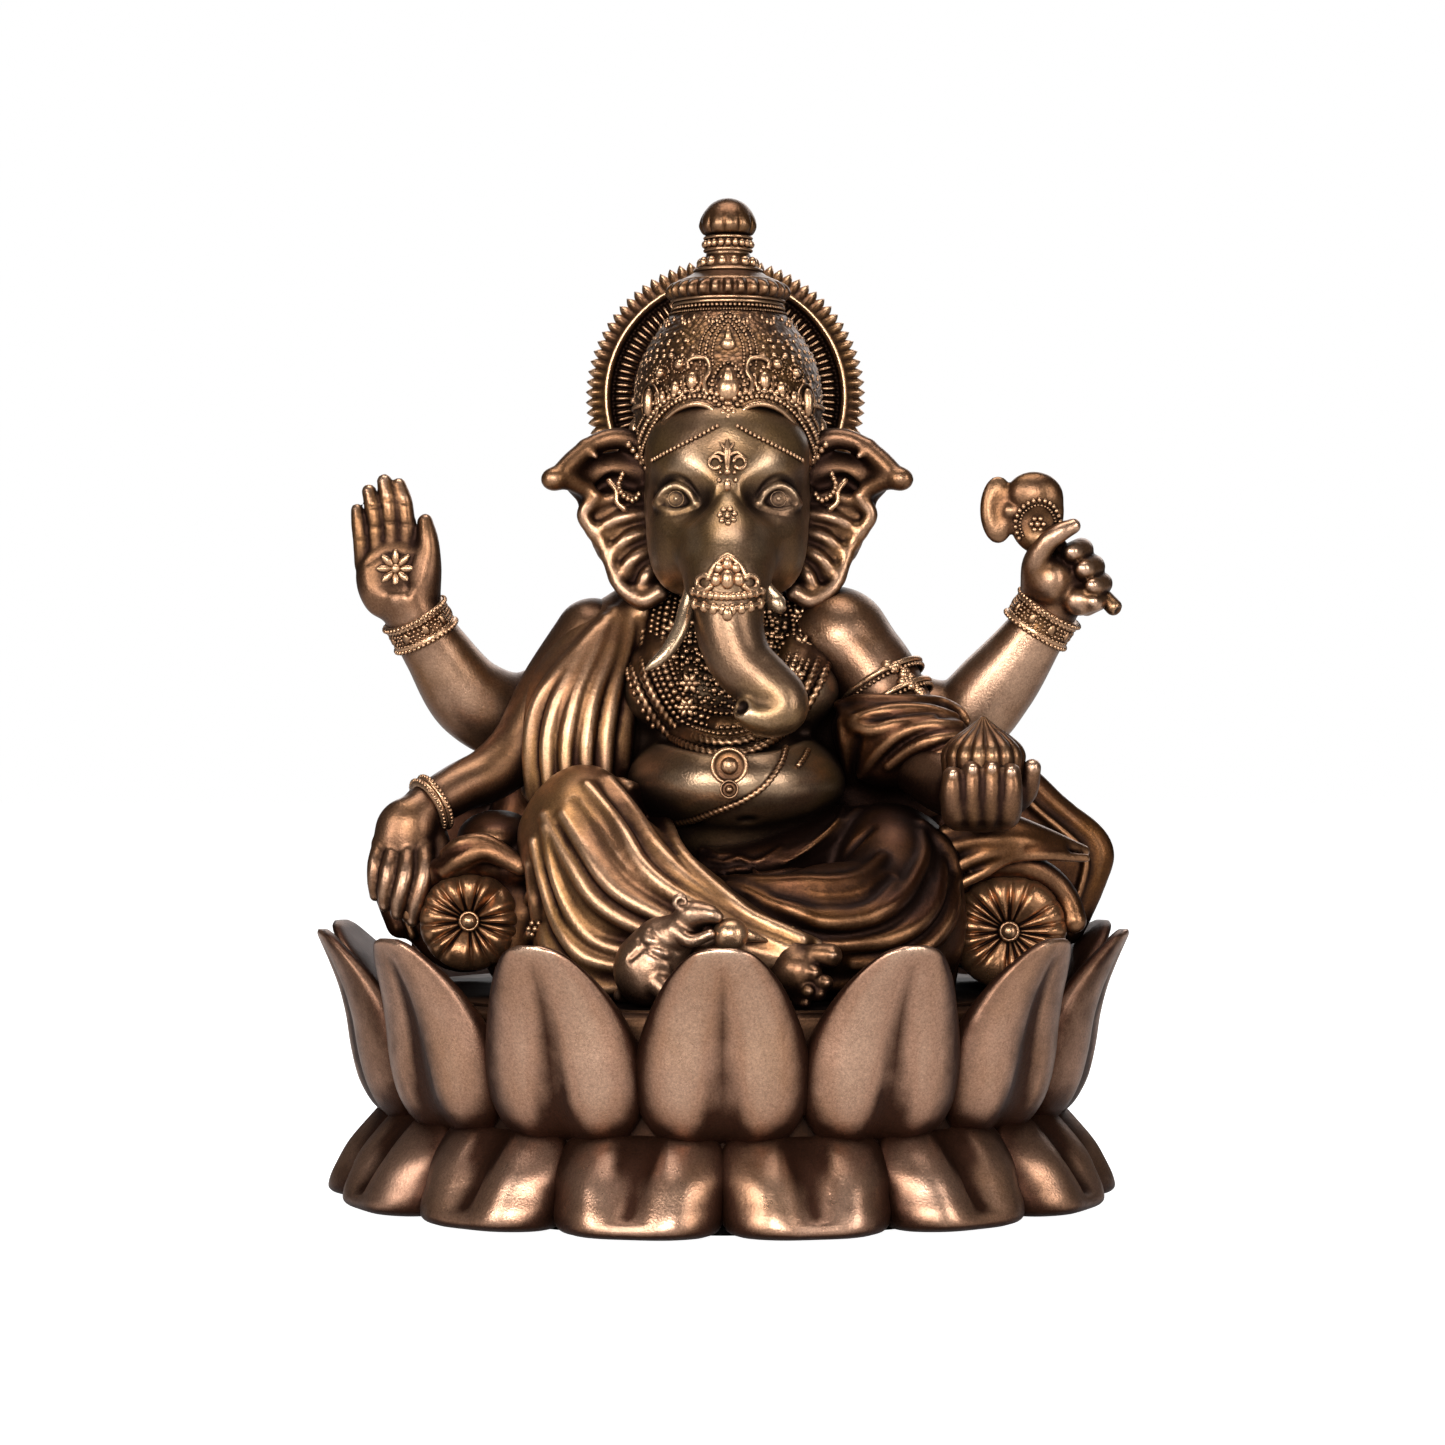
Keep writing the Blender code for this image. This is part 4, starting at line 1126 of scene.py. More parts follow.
def add_cornice(gems):
    # sprays of leaves under the cornice
    for i in range(14):
        a = 2 * math.pi * (i + 0.5) / 14
        for lean in (-2, -1, 0, 1, 2):
            leaf_at = round_dome(a + lean * 0.06, 140.4 + 0.25 * lean * lean, -0.05)
            gems.bead(leaf_at, (0.34, 0.3, 0.75 - 0.08 * abs(lean)), rings=7, sides=8)
        gems.bead(round_dome(a, 139.0, -0.02), 0.3)

    # cornice: a swollen ring of gadroons between two cords
    for z, radius, size in ((144.3, 8.6, 0.36), (144.9, 9.0, 0.3), (148.0, 8.0, 0.3)):
        gems.hoop(CROWN_X, CROWN_Y, z, radius, size)
    turn = np.linspace(0, 2 * math.pi, 336, endpoint=False)
    lobe = 1 - np.abs(np.sin(turn * 14)) ** 3
    swell = [
        (144.9, 8.3, 0.0), (145.1, 9.2, 0.2), (145.7, 9.9, 0.55), (146.5, 10.15, 0.75), (147.3, 9.7, 0.55),
        (147.9, 8.8, 0.25), (148.1, 7.8, 0.0)]
    rings = []
    for z, radius, depth in spline(swell, 4):
        reach = radius - depth * (1 - lobe)
        ring = [CROWN_X + reach * np.cos(turn), CROWN_Y + reach * np.sin(turn), np.full(len(turn), z)]
        rings.append(np.column_stack(ring))
    gems.loft(rings)
    neck = [
        (145.0, 8.6), (147.6, 8.6), (148.3, 7.9), (148.9, 6.6), (149.6, 5.5), (150.0, 5.3), (150.2, 4.9),
        (151.0, 4.5), (152.2, 3.7), (153.0, 3.5)]
    gems.loft(lathe(CROWN_X, CROWN_Y, spline(neck, 4), 72))
    gems.hoop(CROWN_X, CROWN_Y, 149.9, 5.35, 0.3)
    gems.bead_ring(
        vec(CROWN_X, CROWN_Y, 151.1), vec(4.3, 0, 0), vec(0, 4.3, 0), 14, (0.8, 0.8, 0.95), rings=7)


def build_crown(trim_metal, worked_metal):
    gems = Trim()
    for add in (add_arches, add_front_jewels, add_bands, add_curls, add_cornice):
        add(gems)
    piece("crown_dome", "trim_bronze", worked_metal, ["crown"], sculpt_crown(), rounds=10)
    piece("crown_jewels", "trim_bronze", trim_metal, [], gems, rounds=10)


def build_finial(trim_metal):
    finial = Trim()
    bulb = [
        (152.6, 3.4), (153.0, 3.6), (155.0, 3.5), (155.6, 3.6), (156.0, 4.2), (157.0, 4.7), (157.9, 4.6),
        (158.7, 4.3), (159.7, 3.7), (160.7, 2.8), (161.4, 1.6), (161.7, 0.4)]

    def flute(a, z):
        return 1 - 0.09 * (1 - abs(math.sin(5.5 * a)) ** 0.5) * math.exp(-((z - 156.9) / 1.5) ** 2)

    finial.loft(lathe(CROWN_X, CROWN_Y, spline(bulb, 5), 132, flute))
    for z in (153.2, 155.2):
        finial.hoop(CROWN_X, CROWN_Y, z, 3.75, 0.28, 61)
    finial.bead_ring(
        vec(CROWN_X, CROWN_Y, 154.2), vec(3.7, 0, 0), vec(0, 3.7, 0), 20, (0.6, 0.6, 0.68), rings=7)
    piece("crown_finial_bulb", "trim_bronze", trim_metal, ["crown_finial"], finial)


HALO_X, HALO_Z = 0.5, 130.9


def build_halo(trim_metal):
    teeth, ribs, columns = 84, 96, 672
    turn = np.linspace(0, 2 * math.pi, columns, endpoint=False)
    tooth = (1 - np.abs(((turn * teeth / (2 * math.pi)) % 1) * 2 - 1)) ** 0.75
    rib = np.clip(1.6 * np.sin(turn * ribs), -1, 1) * 0.5 + 0.5
    flat = np.zeros(columns)
    # radius, how far the teeth push it out, y, how far the teeth and ribs pull it forward
    rows = [
        (1.0, flat, 11.4, flat), (14.0, flat, 11.6, flat), (15.0, flat, 11.2, flat), (17.6, flat, 11.2, flat),
        (18.4, flat, 11.7, flat), (19.7, 0.2 * tooth, 11.6, flat), (21.8, 1.1 * tooth, 11.0, flat),
        (22.1, 1.1 * tooth, 10.4, -0.2 * tooth), (21.9, 0.7 * tooth, 9.9, -0.4 * tooth),
        (21.3, 0.2 * tooth, 9.7, -0.5 * tooth), (20.3, flat, 8.8, flat), (20.0, flat, 8.4, flat),
        (19.7, flat, 8.3, flat), (19.3, flat, 8.5, flat), (19.0, flat, 9.2, flat), (18.8, flat, 10.4, flat),
        (18.3, flat, 10.2, -0.5 * rib), (17.8, flat, 9.9, -0.9 * rib), (16.4, flat, 9.8, -0.9 * rib),
        (15.7, flat, 9.9, -0.7 * rib), (15.3, flat, 10.0, flat), (14.9, flat, 9.3, flat),
        (14.2, flat, 9.2, flat), (10.0, flat, 9.4, flat), (1.0, flat, 9.4, flat),
    ]
    disc = Trim()
    disc.loft([
        np.column_stack([HALO_X + (r + push) * np.cos(turn), y + pull, HALO_Z + (r + push) * np.sin(turn)])
        for r, push, y, pull in rows])
    disc.bead_ring(
        vec(HALO_X, 11.2, HALO_Z), vec(16.3, 0, 0), vec(0, 0, 16.3), 24, (0.9, 0.5, 0.9), start=0.5)
    for i in range(12):
        a = 2 * math.pi * i / 12
        path = [(HALO_X + r * math.cos(a), 11.5, HALO_Z + r * math.sin(a)) for r in (4.0, 7.0, 10.0, 13.0)]
        disc.pipe(path, [0.4, 1.3, 1.6, 0.5], sides=8, squash=0.35, up=(0, 1, 0))
    disc.bead((HALO_X, 11.4, HALO_Z), (3.0, 0.7, 3.0), rings=10, sides=20)
    piece("halo_disc", "trim_bronze", trim_metal, ["halo"], disc, rounds=8, patina_and_painted_light=-0.06)


# ---------------------------------------------------------------- body


def ridges(clay, lines, radius=1.0, lift=-0.1, soft=0.9, cut=False, taper=0.55):
    """Folds laid on the front of the clay along (x, z) lines, thinner at both ends."""
    paths = [clay.fronts(line, lift, 4) for line in lines]
    for path in paths:
        share = np.sin(np.linspace(0, math.pi, len(path))) ** 0.6
        clay.tube(path, radius * (taper + (1 - taper) * share), soft, cut, per_span=1)


def drape(clay, folds, grooves, radius=1.25, groove_radius=0.85, soft=0.9, sink=0.4):
    """Pleats of cloth along (x, z) lines: the grooves are cut first, then the folds are laid between them."""

    def settled(line):
        path = clay.fronts(line, 0.0, 5)
        for _ in range(12):
            path[1:-1, 1] = (path[:-2, 1] + 2 * path[1:-1, 1] + path[2:, 1]) / 4
        return path

    laid, cut = [settled(line) for line in folds], [settled(line) for line in grooves]
    for path, size, lift, away in [
        (p, groove_radius, -0.5, True) for p in cut] + [(p, radius, sink, False) for p in laid]:
        share = np.sin(np.linspace(0.08, math.pi - 0.08, len(path))) ** 0.5
        clay.tube(path + vec(0, lift, 0), size * (0.5 + 0.5 * share), soft, away, per_span=1)


CHEST_LINE = [
    (-13.2, 99.5), (-14.4, 93), (-14.3, 86), (-12.8, 81.5), (-10.1, 76.9), (-6.7, 73.8), (-1.3, 72.2),
    (3.3, 72.4), (7.6, 74.0), (11.8, 77.4), (15.0, 82.4), (17.2, 88), (17.6, 93), (16.4, 98.6),
]
CHEST_MIDDLE = (1.0, 93.0)


def inward(line, by):
    """The line moved by this much towards the middle of the chest."""
    out = []
    for x, z in line:
        towards = vec(CHEST_MIDDLE[0] - x, CHEST_MIDDLE[1] - z)
        out.append(tuple(vec(x, z) + towards / np.linalg.norm(towards) * by))
    return out


def build_torso(skin):
    clay = Clay((-27, -36, 33), (29, 22, 104), 0.42)
    clay.blob((1, 2, 46), (22, 18.5, 17))
    clay.blob((1, 0, 62), (18, 15, 18), soft=6)
    clay.blob((2.2, -13.0, 67.6), (17.4, 20.4, 9.4), soft=3)
    clay.blob((2.2, -10.0, 60.0), (16.6, 15.6, 9.4), soft=2)
    clay.blob((1, -2, 84), (18, 13.4, 16), soft=5)
    clay.blob((-6.6, -12.4, 82), (9.2, 7, 6.6), soft=4)
    clay.blob((9.4, -12.4, 82), (9.2, 7, 6.6), soft=4)
    clay.blob((0.8, 1, 93), (19, 9.4, 9), soft=5)
    for side in (-1, 1):
        clay.blob((0.8 + side * 8.6, 7.4, 88), (5.4, 4.8, 8.6), turn=(0, side * 14, 0), soft=5)
    clay.tube([(0.8, 15.6, 92), (0.8, 16.0, 76), (0.8, 18.2, 58)], 1.2, soft=2.5, cut=True)
    clay.blob((16, -3, 74), (7, 8, 8), soft=3)
    clay.blob((-12, -3, 73), (7, 8, 8), soft=3)
    fold = [(-9, 74.6), (-4, 73.4), (1.5, 73.0), (8, 73.6), (13, 75.4)]
    clay.tube(clay.fronts(fold, -0.1, 4), 0.8, soft=1.6, cut=True, per_span=1)
    navel = clay.front(3.8, 61.8)
    clay.blob(navel, (1.3, 1.2, 0.5), soft=1.0, cut=True)
    clay.below(SEAT_TOP)
    piece("torso_and_belly", "skin_bronze", skin, ["torso"], clay, rounds=30)
    return clay


def build_collar(clay, trim_metal):
    """A breastplate of strings: twisted cords outside, then rows of beads, then flowers and curls."""
    strings = Trim()
    strings.rope(clay.fronts(CHEST_LINE, 0.7), 0.85, 2.6)
    strings.rope(clay.fronts(inward(CHEST_LINE, 1.75), 0.9), 0.8, 2.4)
    for by, size, lift in ((3.1, 0.5, 0.9), (4.1, 0.5, 1.0), (5.2, 0.6, 1.0), (6.3, 0.45, 0.9)):
        strings.beads(clay.fronts(inward(CHEST_LINE, by), lift), size, size * 2.02)
    draw = np.random.default_rng(11)
    # flowers and curls fill the breast inside the strings
    outline = inward(CHEST_LINE, 7.2)
    right_edge = np.array(sorted((z, x) for x, z in outline if x < 0)).T
    left_edge = np.array(sorted((z, x) for x, z in outline if x > 0)).T
    for z in np.arange(79.5, 99.5, 0.85):
        for x in np.arange(np.interp(z, *right_edge), np.interp(z, *left_edge), 0.85):
            if -2.0 < x < 4.0 and z > 86:
                continue
            strings.bead(
                clay.front(x + draw.uniform(-0.3, 0.3), z + draw.uniform(-0.3, 0.3), draw.uniform(0.2, 1.0)),
                draw.uniform(0.26, 0.56), rings=5, sides=7)
    for x, z in (
        (-5.6, 79.4), (-5.2, 83.2), (-8.6, 87.4), (11.4, 84.6), (12.6, 89.4), (8.6, 80.8), (-7.6, 92.0),
        (12.4, 94.0)):
        at = clay.front(x, z, 1.2)
        for i in range(6):
            a = math.pi * i / 3
            petal_path = [at + vec(r * math.cos(a), -0.15, r * math.sin(a)) for r in (0.3, 0.9, 1.5)]
            strings.pipe(petal_path, [0.3, 0.55, 0.3], sides=7)
        strings.bead(at + vec(0, -0.4, 0), 0.6)
    for i, point in enumerate(evenly(clay.fronts(CHEST_LINE[1:5], 1.0), 1.5)):
        strings.bead(point + vec(-0.9, 0.3, -0.4), (0.45, 0.45, 0.6))
    backing = Clay((-20, -36, 68), (23, 11, 105), 0.42)
    for by, size in ((1.4, 1.7), (4.0, 2.0), (6.4, 1.8)):
        backing.tube(
            clay.fronts(inward(CHEST_LINE, by), -1.2, 4), size, soft=1.4, per_span=1, squash=(1, 0.8))
    # the strings go on round the neck, under the head
    nape = [
        (16.4, -6.6, 98.6), (13.2, 1.0, 99.6), (7, 4.8, 100.4), (0.8, 6.0, 100.6), (-5.6, 4.8, 100.4),
        (-11.4, 1.0, 99.6), (-13.2, -6.6, 99.5)]
    backing.tube(nape, 2.0, soft=1.0)
    for spread, size in ((0.0, 0.62), (1.4, 0.5), (-1.3, 0.55)):
        line = spline([(x * (1 + 0.02 * spread), y + 0.5 + 1.2, z - 0.4 - spread) for x, y, z in nape], 6)
        strings.beads(line, size, size * 2.02)
    piece(
        "collar_of_strings", "trim_bronze", trim_metal, ["collar_necklace"], strings, backing, rounds=8,
        patina_and_painted_light=-0.09)


def build_pendants(clay, trim_metal):
    pendant = Trim()
    for x, z, r in ((1.03, 70.3, 3.0), (1.03, 66.7, 1.5)):
        at = clay.front(x, z, 0.0)
        disc = [
            (0.05, -0.9), (0.9, -0.95), (0.98, -0.5), (1.0, 0.6), (0.94, 1.15), (0.84, 1.2), (0.76, 0.95),
            (0.66, 0.85), (0.5, 0.95), (0.05, 1.0)]
        circle = np.linspace(0, 2 * math.pi, 40, endpoint=False)
        pendant.loft(
            [
                [
                    (at[0] + r * s * math.cos(a), at[1] - rise, at[2] + r * s * math.sin(a)) for a in circle
                ] for s, rise in disc])
        pendant.bead(at + vec(0, -0.9, 0), (r * 0.46, 0.9, r * 0.46), rings=10, sides=20)
    piece("belly_pendant_discs", "trim_bronze", trim_metal, ["belly_pendant"], pendant, rounds=8)


def build_cord(clay, trim_metal):
    cord = Trim()
    hang = [(9.9, 73.0), (8.9, 70.4), (6.4, 67.1), (3.1, 64.9), (-0.7, 63.3), (-4.8, 61.7), (-7.9, 61.0)]
    cord.rope(clay.fronts(hang, 0.35), 0.62, 1.8)
    cord.rope(clay.fronts([(13.4, 72.7), (12.6, 71.3), (11.8, 70.4)], 0.3), 0.55, 1.8)
    cord.bead(clay.front(-8.4, 60.9, 0.5), 0.8)
    piece("sacred_cord", "trim_bronze", trim_metal, ["sacred_thread"], cord, rounds=8)


def build_right_leg(cloth, trim_metal):
    clay = Clay((-34, -51, 33), (17, 16, 73), 0.42)
    clay.tube([(-12, 2, 48), (-19, -10, 53), (-22, -19, 57.5)], [12.5, 11.5, 10], soft=3)
    clay.blob((-21.8, -22.5, 59.2), (9.0, 10, 11.2), soft=3)
    clay.tube(
        [(-22, -25, 58), (-14, -33, 52.4), (-5, -38.5, 47.2), (3, -42.2, 44.0), (10, -45.0, 41.6)],
        [9.4, 9.0, 7.6, 5.6, 4.0], soft=3)
    clay.blob((-18, -24, 43), (11.6, 14.4, 13), soft=4)
    clay.tube([(-20, -31, 39), (-8, -38, 37.5), (4, -40.5, 36.5)], [6, 5, 4], soft=3)
    grooves = [
        [(-25.9, 61), (-22.6, 56.8), (-19.0, 51.6), (-15.2, 48.6), (-9.6, 46.2), (-3, 44.0), (4, 42.2)],
        [(-23.0, 65), (-20.0, 60.6), (-17.0, 56.0), (-13.8, 52.8), (-9.0, 49.8), (-3.0, 46.6), (4.0, 44.2)],
        [(-19.0, 68), (-15.6, 63.2), (-13.2, 59.2), (-10.6, 55.4), (-6.2, 51.6), (-1, 48.2), (5, 45.4)],
        [(-28.0, 60), (-26.4, 54), (-23.6, 47.4), (-19.4, 42.6), (-13.0, 41.0)],
        [(-29.4, 58.3), (-28.4, 51.6), (-26.4, 45), (-23.0, 39.4)],
        [(-16.0, 67), (-12.4, 62.2), (-9.4, 58.0), (-5.6, 54.0), (-0.6, 50.2)],
    ]
    folds = [
        [
            (-27.6, 62.4), (-23.6, 55.8), (-19.8, 50.2), (-15.0, 46.9), (-9.6, 44.9), (-3, 43.0), (4, 41.4),
            (9, 40.8)],
        [
            (-24.6, 62.6), (-21.6, 58.2), (-18.4, 53.6), (-15.0, 50.6), (-9.6, 47.8), (-3, 45.0), (4, 42.9),
            (9, 41.9)],
        [
            (-21.0, 67.2), (-17.4, 63), (-15.0, 59.8), (-12.4, 55.6), (-8.4, 52.0), (-2, 48.4), (4.6, 45.2),
            (10, 43.0)],
        [(-17.6, 68.0), (-13.6, 63), (-10.4, 58.4), (-6.2, 54.0), (-1, 50.2), (5, 47.0), (12, 43.9)],
        [(-15.0, 66.6), (-11.2, 62.4), (-8.0, 58.2), (-4.2, 54.2), (0.4, 50.8)],
        [(-29.2, 58.5), (-27.7, 52.6), (-25.2, 45.7), (-21.2, 41.2), (-15, 39.6), (-8, 39.0)],
        [(-27.4, 60.5), (-25.4, 52.4), (-21.9, 45.8), (-17.3, 42.6), (-10, 41.8), (-3, 40.6)],
        [(-30.0, 55.0), (-29.2, 49.0), (-27.6, 43.0), (-25.0, 37.0)],
        [(-27.8, 45.0), (-25.8, 40.0), (-21.0, 36.6), (-15.0, 36.2)],
    ]
    drape(clay, folds, grooves)
    hem = [
        (-15.8, 67.6), (-11.9, 65.4), (-8.8, 61.2), (-6.6, 57.4), (-2.8, 53.4), (1.6, 49.8), (4.3, 47.8),
        (9.4, 45.6), (14.4, 43.4)]
    ridges(clay, [hem], radius=1.1, lift=-0.6, soft=0.6, taper=0.8)
    # folds round the outside of the thigh
    for z, sag in ((62, 3), (57, 5), (51, 5), (45, 4), (40, 3)):
        path = [
            (-30.2, -24, z - 1), (-31.0, -17, z - sag), (-28.6, -8, z - sag - 1), (-24.6, 0, z - sag - 2),
            (-19, 7, z - sag - 2)]
        clay.tube(path, [0.8, 1.3, 1.5, 1.4, 1.0], soft=1.3)
    clay.below(SEAT_TOP)
    piece("right_leg_in_robe", "cloth_bronze", cloth, ["right_leg"], clay, rounds=16)
    hem_trim = Trim()
    rosette = clay.front(-29.0, 45.0, 0.1)
    hem_trim.rosette(rosette)
    piece("right_robe_trim", "trim_bronze", trim_metal, [], hem_trim, rounds=8)


def build_left_leg(cloth):
    clay = Clay((-4, -48, 33), (41, 18, 68), 0.42)
    clay.tube([(10, 2, 48), (20, -8, 51.5), (26, -16, 53)], [12.5, 12, 11], soft=3)
    clay.blob((26.4, -20.5, 51.0), (9.8, 13.0, 12.4), soft=3)
    clay.tube(
        [(29, -27, 46), (20, -34, 46.4), (10, -37.2, 47.6), (3, -37.4, 48.6)], [9.0, 9.2, 7.0, 5.0], soft=3)
    clay.blob((20, -25, 42), (16, 15, 10), soft=4)
    clay.blob((8, -31, 40), (12, 10, 7), soft=4)
    clay.tube(
        [(-2.0, -24, 54.0), (6, -25.5, 54.6), (13, -22, 56.6), (18, -16, 59.0)], [3.6, 4.0, 4.6, 4.8], soft=2)
    grooves = [
        [(3.6, 50.6), (10, 50.6), (16, 49.8), (21.8, 50.4), (26.0, 53.6)],
        [(8, 46.2), (13, 45.0), (19, 44.6), (25, 45.8), (29.6, 49.2), (31.8, 53.6)],
        [(20.0, 41.6), (26.0, 42.0), (31.0, 44.6), (34.0, 48.6), (34.6, 52.6)],
        [(6, 53.8), (13, 54.8), (19, 56.8), (23, 60.6)],
    ]
    folds = [
        [(-0.6, 52.4), (3.1, 52.6), (8, 52.5), (12.5, 52.7), (17, 52.6), (21.3, 53.4), (24.6, 56.0)],
        [
            (1.0, 52.0), (3.7, 51.4), (7.5, 49.6), (10.9, 48.4), (15.6, 46.8), (21.3, 47.2), (26.6, 49.7),
            (29.8, 53.4), (31.3, 56.6), (31.2, 59.6)],
        [(14, 43.2), (18.8, 43.2), (25, 43.9), (29.8, 45.9), (32.6, 49), (33.8, 52.6), (34.0, 56.4)],
        [(20, 40.2), (26, 40.4), (31.4, 42.8), (34.8, 46.6), (35.8, 51.0), (35.6, 55.0)],
        [(5.8, 54.6), (10.8, 56.2), (14.4, 58.0), (18.8, 60.6), (21.4, 62.8)],
        [(9, 37.6), (18, 37.0), (27, 37.6), (33, 40.4)],
    ]
    drape(clay, folds, grooves, radius=1.3, groove_radius=0.9)
    ruffles = [
        [(-6.4, 57.6), (-4.2, 56.9), (-2.4, 57.2), (-0.6, 56.3), (1.6, 56.6)],
        [(-2.6, 55.8), (0.2, 55.2), (2.6, 55.9), (4.8, 55.2), (7.2, 56.2), (9.2, 57.6)],
        [(-3.8, 53.9), (0.0, 53.8), (3.4, 54.2), (6.0, 53.8)],
        [(9.4, 55.0), (13.0, 57.2), (16.4, 59.8), (18.6, 62.2), (19.4, 64.6)],
    ]
    ridges(clay, ruffles, radius=0.5, lift=0.05, soft=0.4, taper=0.5)
    clay.tube([(22, 2, 57.0), (30, 5, 57.0), (37, 6, 55.0)], [5.0, 6.0, 5.0], soft=2)
    for a, b in ((47.4, 44.0), (45.6, 42.6)):
        ridges(
            clay, [[(3, a), (8, (a + b) / 2 + 0.3), (13.5, b)]], radius=0.9, lift=-0.2, soft=0.6, taper=0.8)
    for i, x in enumerate((36.4, 37.2, 36.6, 34.6, 31.0)):
        y = -26 + 8 * i
        clay.tube(
            [
                (x - 5.0, y + 1, 61 - 0.5 * i), (x - 1.2, y, 57 - i), (x, y, 50 - i), (x - 0.6, y + 1, 42),
                (x - 1.4, y + 1, 35)], [0.9, 1.3, 1.4, 1.4, 1.2], soft=1.3)
    clay.below(SEAT_TOP)
    # painted shade, deeper on the top of the leg under the belly
    piece(
        "left_leg_in_robe", "cloth_bronze", cloth, ["left_leg"], clay, rounds=16, patina_and_painted_light=lambda x, y,
        z: -0.05 - 0.12 * np.clip((z - 46) / 6, 0, 1))


def build_foot(skin, trim_metal):
    foot = Clay((4, -56, 32), (22, -36, 48), 0.3)
    foot.tube([(9, -43, 42.6), (10.6, -45.6, 41.0), (11.4, -48.0, 39.6)], [3.4, 3.8, 3.6], soft=1.5)
    foot.blob((10.4, -47.2, 39.6), (3.0, 3.0, 4.2), soft=1)
    for x, y, z, r in (
        (16.2, -49.4, 42.0, 1.8), (13.6, -50.4, 39.4, 1.35), (15.4, -50.6, 38.0, 1.25),
        (12.8, -50.8, 36.7, 1.15), (14.5, -50.4, 36.3, 1.05), (12.3, -50.2, 34.9, 0.95)):
        foot.tube(
            [(11.4, -47.6, min(z, 40.6)), ((x + 11.4) / 2, (y - 47.0) / 2 - 0.8, z), (x, y, z)],
            [r * 1.1, r * 0.95, r], soft=0.5)
        foot.blob((x + 0.3, y - r * 0.75, z + 0.1), (r * 0.5, r * 0.4, r * 0.45), soft=0.3)
    foot.below(SEAT_TOP)
    rings = Trim()
    ring_at, ring_axis = vec(14.4, -49.6, 38.0), vec(0.8, -0.5, 0)
    side, rise = ring_frame(ring_axis)
    rings.pipe(ellipse(ring_at, 1.35 * side, 1.35 * rise, 21), 0.32, sides=7, up=unit(ring_axis))
    anklet = [
        (9.2 + 3.8 * math.cos(a), -43.4 - 1.2 * abs(math.sin(a)), 41.8 + 4.2 * math.sin(a))
        for a in np.linspace(-1.5, 1.5, 17)]
    rings.beads(anklet, 0.55, 1.1)
    piece("right_foot_and_toes", "skin_bronze", skin, ["right_foot"], foot, rounds=16, patina_and_painted_light=-0.15)
    piece("right_foot_rings", "trim_bronze", trim_metal, [], rings, rounds=8)


def bangle(centre, axis, radius, length, beads=22, panels=9):
    """A band round an arm: a rim of beads at each edge and a row of oval panels between."""
    band = Trim()
    axis = unit(axis)
    centre = np.asarray(centre, float)
    side, rise = ring_frame(axis)
    circle = np.linspace(0, 2 * math.pi, 48, endpoint=False)
    half = length / 2
    profile = [
        (-half, 0.72), (-half, 1.0), (-half + 0.7, 1.05), (-half + 1.1, 0.98), (half - 1.1, 0.98),
        (half - 0.7, 1.05), (half, 1.0), (half, 0.72)]
    rings = [
        [centre + axis * s + radius * k * (math.cos(a) * side + math.sin(a) * rise) for a in circle] for s,
        k in profile]
    band.loft(rings)

    def row(s, reach, size, start, **shape):
        across, up = radius * reach * side, radius * reach * rise
        band.bead_ring(centre + axis * s, across, up, beads * 2, radius * size, start, **shape)

    for s in (-half + 0.3, half - 0.3):
        row(s, 1.03, 0.075, 0.0, rings=5, sides=7)
    for i in range(panels):
        a = 2 * math.pi * i / panels
        out = math.cos(a) * side + math.sin(a) * rise
        across = np.cross(axis, out)
        turn = np.column_stack([across, out, axis])
        at = centre + out * radius * 0.98
        band.bead(at, (radius * 0.12, 0.4, half * 0.42), turn=turn, rings=8, sides=12)
        band.bead_ring(at, across * radius * 0.2, axis * half * 0.6, 9, 0.22, rings=4, sides=6)
    for s in np.linspace(-half * 0.55, half * 0.55, max(2, int(length / 0.8))):
        row(s, 0.97, 0.055, 0.5 * (s > 0), rings=4, sides=6)
    return band


